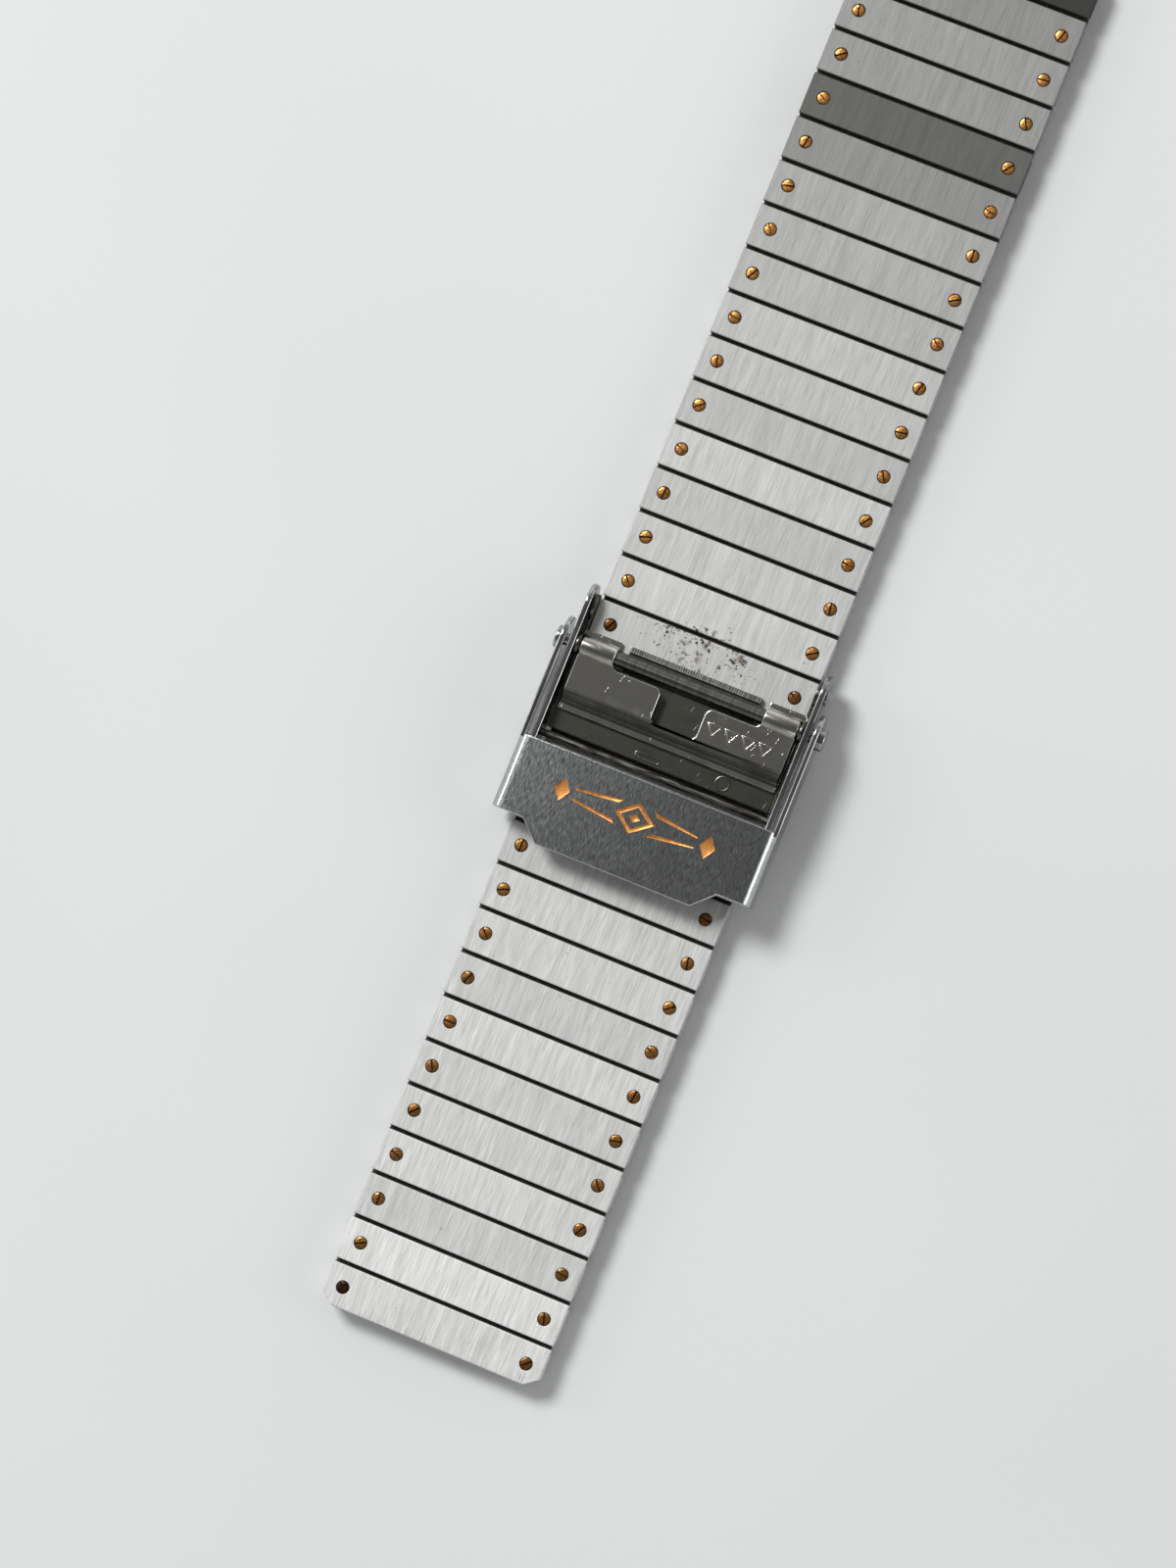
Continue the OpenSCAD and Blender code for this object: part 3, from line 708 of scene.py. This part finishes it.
class CLASP_OT_links(bpy.types.Operator):
    """Makes the brushed links with their hinge pins"""

    bl_idname = "clasp.links"
    bl_label = "Links"

    def model(self, number, name):
        """One link: its body with rounded plate edges, grooves and screw holes painted nearly black as grime
        and painted shade, and its pin.
        """
        sizes = bpy.context.scene.clasp_sizes
        whole = copy_node(f"link_{number:02d}", name)
        only(whole)
        bpy.ops.mesh.separate(type="LOOSE")
        parts = sorted(bpy.context.selected_objects, key=lambda part: -part.dimensions.x)
        body = parts[0]
        pins = [part for part in parts[1:] if part.dimensions.x > 2 * SCREW_X]
        for part in parts[1:]:
            if part not in pins:
                bpy.data.objects.remove(part)
        plate_low = TOP_Z - PLATE_T
        edge_low = TOP_Z - 0.12 * MM
        round_edges(body, sizes.plate_round, 2, 30, lambda mid: mid.z > plate_low + 0.1 * MM)
        if pins:
            # The ears reach nearly to the plate's sides, so that no light shows beside them in the grooves
            choose(body, "VERT", lambda p: abs(abs(p.x) - EAR_X) < 0.01 * MM)
            bpy.ops.transform.resize(value=(sizes.ear_reach / EAR_X, 1, 1))
            object_mode()

        # The tail link's free end stays clean, and elsewhere grime and painted shade fill the upper half of
        # the gaps
        free_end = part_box("link_00")[0].y + 1.1 * MM
        grime_shade_low = 0.9 * MM

        def in_groove(mid, normal):
            if mid.y < free_end and mid.z > grime_shade_low:
                return False
            if mid.z > plate_low + 0.01 * MM:
                return abs(normal.y) > 0.8 and mid.z < edge_low
            return mid.z > grime_shade_low and abs(normal.x) < 0.8

        # Painted shade: the walls of the screw holes are painted nearly black
        def in_hole(mid, normal):
            away = math.hypot(abs(mid.x) - SCREW_X, mid.y - link_y(number))
            return away < sizes.screw_radius + 0.1 * MM and mid.z < TOP_Z - 0.04 * MM

        for part in [body, *pins]:
            dress(part, "Brushed Stainless Plate", "Groove Grime", "Dull Pin Steel")
        paint_faces(body, 1, in_groove)
        paint_faces(body, 1, in_hole)
        for pin in pins:
            paint_faces(pin, 2, lambda mid, normal: True)
        return join([body, *pins], name)

    def execute(self, context):
        pattern_number = 5
        pattern = self.model(pattern_number, "link_pattern")
        # Painted light and shade: the first two links are painted the brightest. Towards the watch end the
        # links are painted darker, where less light reaches them and tilted links mirror the dark room, the
        # last one most
        dulled = {24: 0.46, 25: 0.43, 26: 0.28, 27: 0.1, 28: 0.32, 29: 0.34, 30: 0.28, 31: 0.0}
        tones = {0: 0.9, 1: 0.97, **dulled}
        for number in range(LINKS):
            name = f"link_{number:02d}_steel"
            if number == 0:
                piece = self.model(0, name)
            else:
                piece = bpy.data.objects.new(name, pattern.data.copy())
                context.scene.collection.objects.link(piece)
                piece.data.transform(Matrix.Translation((0, (number - pattern_number) * PITCH, 0)))
            # Those between are painted darker slowly towards that end, as painted shade, and unevenly, as
            # their own tone
            slow = 0.84 - 0.0085 * number - 0.0002 * number**2 + 0.05 * math.sin(number * 2.4)
            write_value(piece, "link_tone_and_shade", tones.get(number, slow))
            write_value(piece, "link_shift", number * 0.0137)
            hand_over(piece, link_body(number), "link_steel", f"link_{number:02d}")
        bpy.data.objects.remove(pattern)
        return {"FINISHED"}


class CLASP_OT_screws(bpy.types.Operator):
    """Makes the gold-coloured slotted screws of the links"""

    bl_idname = "clasp.screws"
    bl_label = "Link Screws"

    def model(self, sizes):
        """One slotted screw with a low dome, its head's top at the origin's height."""
        radius = sizes.screw_radius
        head = sizes.screw_head
        shank_radius = 0.3 * MM
        bpy.ops.mesh.primitive_cylinder_add(radius=radius, depth=head, location=(0, 0, -head / 2))
        screw = place_now(bpy.context.active_object, "screw_pattern")
        choose(screw, "FACE", lambda mid, normal: normal.z < -0.9)
        bpy.ops.mesh.inset(thickness=radius - shank_radius)
        extrude(0, 0, -sizes.screw_shank)
        choose(screw, "FACE", lambda mid, normal: normal.z > 0.9)
        bpy.ops.mesh.inset(thickness=radius * 0.28)
        bpy.ops.transform.translate(value=(0, 0, 0.025 * MM))
        bpy.ops.mesh.inset(thickness=radius * 0.3)
        bpy.ops.transform.translate(value=(0, 0, 0.01 * MM))
        object_mode()
        rim = 0.97 * radius
        round_edges(screw, 0.05 * MM, 2, 50, lambda mid: mid.z > -0.01 * MM and mid.xy.length > rim)
        above = 0.1 * MM
        slot_size = (3 * radius, sizes.slot_width, 2 * (sizes.slot_depth + above))
        cut(screw, block("slot_cutter", (0, 0, above), slot_size))
        # Dirt and painted shade fill the slot and lie round the head, where it sits deep in its hole, and thin
        # out towards the middle
        layer = screw.data.attributes.new("screw_dirt_and_shade", "FLOAT", "POINT")
        for point, value in zip(screw.data.vertices, layer.data):
            outwards = (math.hypot(point.co.x, point.co.y) / radius - 0.75) / 0.25
            value.value = 0.8 if point.co.z < -0.08 * MM else min(max(outwards, 0), 1)
        return screw

    def execute(self, context):
        sizes = context.scene.clasp_sizes
        pattern = self.model(sizes)
        dress(pattern, "Gold Screw Brass")
        # Links whose screw has lost its colour, and how much of it is left
        left = {0: 0.06, 14: 0.5, 15: 0.2, 28: 0.6}
        right = {0: 0.45, 10: 0.6, 15: 0.35}
        for number in range(LINKS):
            pair = []
            for side, bare in ((-1, left), (1, right)):
                screw = bpy.data.objects.new("screw", pattern.data.copy())
                context.scene.collection.objects.link(screw)
                turn = Matrix.Rotation(math.radians((number * 67 + side * 41) % 180), 4, "Z")
                place = Matrix.Translation((side * SCREW_X, link_y(number), TOP_Z - sizes.screw_sunk))
                screw.data.transform(place @ turn)
                bright = 0.6 + 0.01 * number + 0.08 * math.sin(number * 1.7 + side)
                write_value(screw, "screw_tone", bare.get(number, bright))
                pair.append(screw)
            piece = join(pair, f"link_{number:02d}_screws")
            hand_over(piece, link_body(number), "gold_fill", f"link_{number:02d}")
        bpy.data.objects.remove(pattern)
        return {"FINISHED"}


class CLASP_OT_slider(bpy.types.Operator):
    """Makes the slider that the bracelet runs through: its box, bridge plate and front strips"""

    bl_idname = "clasp.slider"
    bl_label = "Slider"

    def execute(self, context):
        width = context.scene.clasp_sizes.sheet_round
        for node, name, finish, slot in (
            ("slider_channel", "slider_box", "Pressed Bridge Steel", "stamped_steel"),
            ("bridge_plate", "bridge_plate_pressed", "Pressed Bridge Steel", "stamped_steel"),
            ("front_strips", "front_strips_pressed", "Pressed Lever Steel", "polished_steel"),
        ):
            finish_copy(node, name, finish, "slider", slot, width)
        return {"FINISHED"}


class CLASP_OT_comb(bpy.types.Operator):
    """Makes the clamp leaf with its finely serrated lip"""

    bl_idname = "clasp.comb"
    bl_label = "Clamp Leaf"

    def execute(self, context):
        sizes = context.scene.clasp_sizes
        low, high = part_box("clamp_leaf")
        leaf_t = 0.2 * MM
        lip_y = high.y - 0.45 * MM
        centre = ((low.x + high.x) / 2, (low.y + high.y) / 2, low.z + leaf_t / 2)
        leaf = block("clamp_leaf_sprung", centre, (high.x - low.x, high.y - low.y, leaf_t))
        slice_at(leaf, "Y", lip_y)
        choose(leaf, "FACE", lambda mid, normal: normal.z > 0.9 and mid.y > lip_y)
        extrude(0, 0, high.z - low.z - leaf_t)
        object_mode()
        round_edges(leaf, 0.03 * MM, 2, 50)
        place = (low.x + sizes.comb_pitch, high.y - 0.17 * MM, high.z)
        turn = (math.pi / 2, 0, 0)
        bpy.ops.mesh.primitive_cylinder_add(
            vertices=4, radius=sizes.comb_depth, depth=0.37 * MM, location=place, rotation=turn
        )
        notch = place_now(context.active_object, "notch")
        row = notch.modifiers.new("Row", "ARRAY")
        row.count = int((high.x - low.x) / sizes.comb_pitch) - 1
        row.use_relative_offset = False
        row.use_constant_offset = True
        row.constant_offset_displace = (sizes.comb_pitch, 0, 0)
        bpy.ops.object.modifier_apply(modifier="Row")
        cut(leaf, notch)
        dress(leaf, "Satin Spring Steel", "Groove Grime")
        # Painted shade: the leaf's flat between its lip and the bar is painted nearly black
        paint_faces(leaf, 1, lambda mid, normal: normal.z > 0.9 and mid.z < low.z + leaf_t + 0.01 * MM)
        hand_over(leaf, "slider", "spring_steel", "clamp_leaf", angle=30)
        return {"FINISHED"}


class CLASP_OT_bars(bpy.types.Operator):
    """Makes the hook bar, the keeper bar and the cross bar"""

    bl_idname = "clasp.bars"
    bl_label = "Bars"

    def execute(self, context):
        for node, name, finish, body, slot in (
            ("hook_bar", "hook_bar_turned", "Turned Bar Steel", "slider", "polished_steel"),
            ("keeper_bar", "keeper_bar_drawn", "Dull Pin Steel", "inner_frame", "polished_steel"),
            ("frame_crossbar", "crossbar_flat", "Pressed Bridge Steel", "inner_frame", "stamped_steel"),
        ):
            finish_copy(node, name, finish, body, slot, 0.06 * MM, 3)
        return {"FINISHED"}


class CLASP_OT_arms(bpy.types.Operator):
    """Makes the inner arms of the hinged frame"""

    bl_idname = "clasp.arms"
    bl_label = "Inner Arms"

    def execute(self, context):
        width = context.scene.clasp_sizes.arm_round
        for node in ("inner_arm_left", "inner_arm_right"):
            finish_copy(node, f"{node}_bar", "Polished Arm Steel", "inner_frame", "polished_steel", width, 3)
        return {"FINISHED"}


class CLASP_OT_rivets(bpy.types.Operator):
    """Makes the rivets of the frame and of the cover"""

    bl_idname = "clasp.rivets"
    bl_label = "Rivets"

    def execute(self, context):
        for node, name, body, width in (
            ("frame_rivets", "frame_rivet_pair", "slider", 0.05 * MM),
            ("cover_rivets", "cover_rivet_pair", "cover_body", context.scene.clasp_sizes.rivet_round),
        ):
            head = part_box(node)[1].x - 0.01 * MM

            def on_head(mid, head=head):
                return abs(mid.x) > head

            finish_copy(node, name, "Polished Arm Steel", body, "polished_steel", width, 4, 50, on_head)
        return {"FINISHED"}


class CLASP_OT_lever(bpy.types.Operator):
    """Makes the lock lever: one sheet rolled round the hook bar, bent, and cut by its T-shaped window"""

    bl_idname = "clasp.lever"
    bl_label = "Lock Lever"

    def model_sheet(self, sizes):
        """The rolled and bent sheet, without its window."""
        bar = middle("hook_bar")
        low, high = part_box("lock_lever")
        half = sizes.lever_sheet / 2
        rolled = high.z - bar.z - half
        flat_z = TOP_Z + sizes.lever_rise - half
        lip_z = TOP_Z + sizes.lip_rise - half
        foot_y = SLOPE_Y - 0.75 * MM
        place = (low.x, bar.y, bar.z)
        turn = (0, math.pi / 2, 0)
        bpy.ops.mesh.primitive_circle_add(vertices=48, radius=rolled, location=place, rotation=turn)
        lever = place_now(bpy.context.active_object, "lever_sheet")
        # The roll stays open behind and below the bar, and the flat starts at its end
        opening = (bar.z - 0.9 * rolled, flat_z - 0.03 * MM)
        choose(lever, "VERT", lambda p: p.y < bar.y - 0.15 * MM and opening[0] < p.z < opening[1])
        bpy.ops.mesh.delete(type="VERT")
        choose(lever, "VERT", lambda p: p.y < bar.y - 0.83 * rolled and p.z > bar.z)
        rise = math.radians(30)
        start = Vector((0, bar.y - rolled * math.cos(rise), bar.z + rolled * math.sin(rise)))
        bends = ((SLOPE_Y, sizes.lever_bend), (foot_y, sizes.lever_bend), (start.y, 0.1 * MM))
        for y, z in ((SLOPE_Y, flat_z), (foot_y, lip_z), (low.y, lip_z)):
            step = Vector((0, y, z)) - start
            bpy.ops.mesh.extrude_vertices_move(TRANSFORM_OT_translate={"value": step})
            start += step
        bpy.ops.mesh.select_mode(type="EDGE")
        bpy.ops.mesh.select_all(action="SELECT")
        extrude(high.x - low.x, 0, 0)
        object_mode()
        for y, offset in bends:

            def on_bend(mid, way, y=y):
                return abs(mid.y - y) < 0.02 * MM and mid.z > bar.z - 0.4 * MM and abs(way.x) > MM

            choose(lever, "EDGE", on_bend)
            bpy.ops.mesh.bevel(offset=offset, segments=5)
            object_mode()
        tidy_normals(lever)
        thicken(lever, sizes.lever_sheet, 0)
        return lever

    def model_cutter(self, sizes):
        """The T-shaped window as a block with rounded corners."""
        bar = middle("hook_bar")
        ahead = bar.y + 2 * MM
        shoulder = CLASP_Y - 3.16 * MM
        end = CLASP_Y - 5.9 * MM
        tall = 4 * MM
        centre = (0, (ahead + shoulder) / 2, TOP_Z + tall / 2)
        wide = block("window_cutter", centre, (sizes.window_width, ahead - shoulder, tall))
        stem = sizes.stem_width / 2
        slice_at(wide, "X", -stem, stem)
        choose(wide, "FACE", lambda mid, normal: normal.y < -0.9 and abs(mid.x) < stem)
        extrude(0, end - shoulder, 0)
        object_mode()
        choose(wide, "EDGE", lambda mid, way: abs(way.z) > MM and mid.y < ahead - MM)
        bpy.ops.mesh.bevel(offset=sizes.window_corner, segments=7)
        object_mode()
        return wide

    def execute(self, context):
        sizes = context.scene.clasp_sizes
        lever = self.model_sheet(sizes)
        cut(lever, self.model_cutter(sizes))
        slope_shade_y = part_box("lock_lever")[0].y + 0.34 * MM
        slice_at(lever, "Y", slope_shade_y)
        tidy_normals(lever)
        bar = middle("hook_bar")
        # The roll's open end, which lies under the lever, stays sharp
        round_edges(lever, sizes.lever_round, 4, 45, lambda mid: mid.z > bar.z or mid.y < bar.y - 1.3 * MM)
        dress(lever, "Pressed Lever Steel", "Pressed Bridge Steel", "Polished Arm Steel")
        # Painted shade: the slope and the lip are given the darker bridge steel, for the dark band where the
        # sheet bends down. Wear has polished the rim of the window
        paint_faces(lever, 1, lambda mid, normal: normal.z > 0.2 and slope_shade_y < mid.y < SLOPE_Y - 0.02 * MM)
        rim_x = sizes.window_width / 2 + sizes.lever_round
        rim_z = TOP_Z + sizes.lever_rise - 0.15 * MM

        def on_rim(mid, normal):
            inside = abs(mid.x) < rim_x and SLOPE_Y + 0.1 * MM < mid.y < bar.y - 0.3 * MM and mid.z > rim_z
            return inside and 0.25 < normal.z < 0.96

        paint_faces(lever, 2, on_rim)
        hand_over(lever, "lever", "polished_steel", "lock_lever")
        return {"FINISHED"}


class CLASP_OT_marks(bpy.types.Operator):
    """Makes the stamped marks: outlined arrowheads on the lever, a ring and a bar on the bridge plate"""

    bl_idname = "clasp.marks"
    bl_label = "Stamped Marks"

    def raise_outline(self, piece, line, height):
        """Turns a flat face into its raised outline."""
        choose(piece, "FACE", lambda mid, normal: True)
        bpy.ops.mesh.inset(thickness=line)
        bpy.ops.mesh.delete(type="FACE")
        bpy.ops.mesh.select_all(action="SELECT")
        extrude(0, 0, height)
        object_mode()
        tidy_normals(piece)
        top = max(point.co.z for point in piece.data.vertices)
        round_edges(piece, height * 0.7, 2, 50, lambda mid: mid.z > top - 0.1 * height)

    def execute(self, context):
        sizes = context.scene.clasp_sizes
        # The marks start this far down in their sheets
        root = 0.01 * MM
        lever_z = TOP_Z + sizes.lever_rise - root
        plate_z = BRIDGE_TOP - root
        heads = []
        for x in (2.95, 4.35, 5.75, 7.15):
            place = (x * MM, CLASP_Y - 4.55 * MM, lever_z)
            bpy.ops.mesh.primitive_circle_add(
                vertices=3, radius=0.78 * MM, fill_type="NGON", location=place, rotation=(0, 0, math.pi)
            )
            head = place_now(context.active_object, "arrowhead")
            self.raise_outline(head, 0.15 * MM, sizes.mark_height)
            heads.append(head)
        arrows = join(heads, "lever_arrowheads")
        dress(arrows, "Pressed Lever Steel")
        hand_over(arrows, "lever", "polished_steel")

        place = (5 * MM, CLASP_Y - 8.15 * MM, plate_z)
        bpy.ops.mesh.primitive_circle_add(vertices=24, radius=0.62 * MM, fill_type="NGON", location=place)
        ring = place_now(context.active_object, "ring")
        self.raise_outline(ring, 0.16 * MM, sizes.mark_height)
        bpy.ops.mesh.primitive_plane_add(size=1, location=(-1.1 * MM, CLASP_Y - 8.45 * MM, plate_z))
        bar = context.active_object
        bar.scale = (2.1 * MM, 0.55 * MM, 1)
        place_now(bar, "bar")
        choose(bar, "VERT", lambda p: True)
        bpy.ops.mesh.bevel(offset=0.2 * MM, segments=4, affect="VERTICES")
        object_mode()
        self.raise_outline(bar, 0.14 * MM, sizes.mark_height)
        stamps = join([ring, bar], "bridge_stamps")
        dress(stamps, "Pressed Bridge Steel")
        hand_over(stamps, "slider", "stamped_steel")
        return {"FINISHED"}


class CLASP_OT_cover(bpy.types.Operator):
    """Makes the folded cover with its outer arms, the gold filling and the catch leaf under it"""

    bl_idname = "clasp.cover"
    bl_label = "Cover"

    def model_sheet(self, sizes):
        """The top with its folded sides and its tongue: a bent sheet with a rounded rim."""
        low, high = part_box("cover")
        near = 0.01 * MM
        front = CLASP_Y - sizes.cover_front
        rear = CLASP_Y - sizes.cover_rear
        root = sizes.tongue_root / 2
        bpy.ops.mesh.primitive_plane_add(size=1, location=(0, (front + rear) / 2, high.z))
        cover = bpy.context.active_object
        cover.scale = (high.x - low.x, front - rear, 1)
        place_now(cover, "cover_sheet")
        choose(cover, "EDGE", lambda mid, way: abs(mid.x) > high.x - near)
        extrude(0, 0, low.z - high.z)
        choose(cover, "EDGE", lambda mid, way: abs(mid.x) > high.x - near and mid.z > high.z - near)
        bpy.ops.mesh.bevel(offset=sizes.fold_radius, segments=8)
        slice_at(cover, "X", -root, root)
        choose(cover, "EDGE", lambda mid, way: mid.y < rear + near and abs(mid.x) < root - near)
        extrude(0, low.y - rear, 0)
        bpy.ops.transform.resize(value=(sizes.tongue_end / sizes.tongue_root, 1, 1))
        object_mode()
        thicken(cover, sizes.cover_sheet, -1)
        round_edges(cover, sizes.rim_round, 3, 50)
        return cover

    def model_arm(self, sizes, side):
        """One outer arm: a flat bar with a round end, let into the folded side just below its surface."""
        low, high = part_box("cover")
        sunk = 0.005 * MM
        rear = CLASP_Y - sizes.cover_front - 0.3 * MM
        tall = sizes.outer_arm - 2 * sunk
        thick = sizes.cover_sheet - 2 * sunk
        centre = (side * (high.x - sizes.cover_sheet / 2), (rear + high.y) / 2, low.z + sizes.outer_arm / 2)
        arm = block("outer_arm", centre, (thick, high.y - rear, tall))
        choose(arm, "EDGE", lambda mid, way: abs(way.x) > thick / 2 and mid.y > high.y - sunk)
        # A little under half of the height, so that the two rounded corners don't run into each other
        bpy.ops.mesh.bevel(offset=tall * 0.4999, segments=14)
        object_mode()
        tidy_normals(arm)
        round_edges(arm, sizes.arm_round, 3, 50, lambda mid: mid.y > rear + sunk)
        return arm

    def execute(self, context):
        sizes = context.scene.clasp_sizes
        sheet = self.model_sheet(sizes)
        # The engraving is cut by the filling's own shape, carried up through the top
        cutter = copy_node("cover_inlay", "engraving_cutter", whole=False)
        inlay_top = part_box("cover_inlay")[1].z
        choose(cutter, "VERT", lambda p: p.z > inlay_top - 0.01 * MM)
        bpy.ops.transform.translate(value=(0, 0, 0.2 * MM))
        object_mode()
        cut(sheet, cutter)
        arms = [self.model_arm(sizes, side) for side in (-1, 1)]
        for part in (sheet, *arms):
            dress(part, "Scratched Cover Steel", "Polished Arm Steel", "Pressed Bridge Steel")
            paint_faces(part, 1, lambda mid, normal, arm=part != sheet: arm or abs(normal.x) > 0.95)
        # Painted shade: the underside is given the darker bridge steel, so that it throws less light into the
        # shade under the tongue
        under = COVER_TOP - 2 * sizes.cover_sheet
        paint_faces(sheet, 2, lambda mid, normal: normal.z < -0.3 and mid.z > under)
        cover = join([sheet, *arms], "cover_sheet")
        hand_over(cover, "cover_body", "cover_steel", "cover", angle=32)

        filling = copy_node("cover_inlay", "ornament_filling", whole=False)
        choose(filling, "FACE", lambda mid, normal: normal.z > 0.9)
        bpy.ops.mesh.inset(thickness=0.08 * MM)
        bpy.ops.transform.translate(value=(0, 0, -0.05 * MM))
        object_mode()
        dress(filling, "Gold Filling")
        hand_over(filling, "cover_body", "gold_fill", "cover_inlay")

        leaf = ("catch_leaf", "catch_leaf_sprung", "Satin Spring Steel", "cover_body", "spring_steel")
        finish_copy(*leaf, 0.02 * MM, 2, 60)
        return {"FINISHED"}


class CLASP_PT_panel(bpy.types.Panel):
    """Lists the clasp's sizes, colours and pieces"""

    bl_idname = "CLASP_PT_panel"
    bl_label = "Sliding Clasp"
    bl_space_type = "VIEW_3D"
    bl_region_type = "UI"
    bl_category = "Clasp"

    def draw(self, context):
        layout = self.layout
        for operator in OPERATORS:
            layout.operator(operator.bl_idname)
        for title, group in (("Sizes", context.scene.clasp_sizes), ("Colours", context.scene.clasp_colours)):
            box = layout.box()
            box.label(text=title)
            for name in group.__annotations__:
                box.prop(group, name)


OPERATORS = (
    CLASP_OT_stage,
    CLASP_OT_links,
    CLASP_OT_screws,
    CLASP_OT_slider,
    CLASP_OT_comb,
    CLASP_OT_bars,
    CLASP_OT_arms,
    CLASP_OT_rivets,
    CLASP_OT_lever,
    CLASP_OT_marks,
    CLASP_OT_cover,
)
CLASSES = (ClaspSizes, ClaspColours, *OPERATORS, CLASP_PT_panel)


def register():
    for cls in CLASSES:
        bpy.utils.register_class(cls)
    bpy.types.Scene.clasp_sizes = bpy.props.PointerProperty(type=ClaspSizes)
    bpy.types.Scene.clasp_colours = bpy.props.PointerProperty(type=ClaspColours)


def unregister():
    del bpy.types.Scene.clasp_colours
    del bpy.types.Scene.clasp_sizes
    for cls in reversed(CLASSES):
        bpy.utils.unregister_class(cls)


def main():
    register()
    for operator in OPERATORS:
        group, name = operator.bl_idname.split(".")
        getattr(getattr(bpy.ops, group), name)()


if __name__ == "__main__":
    main()
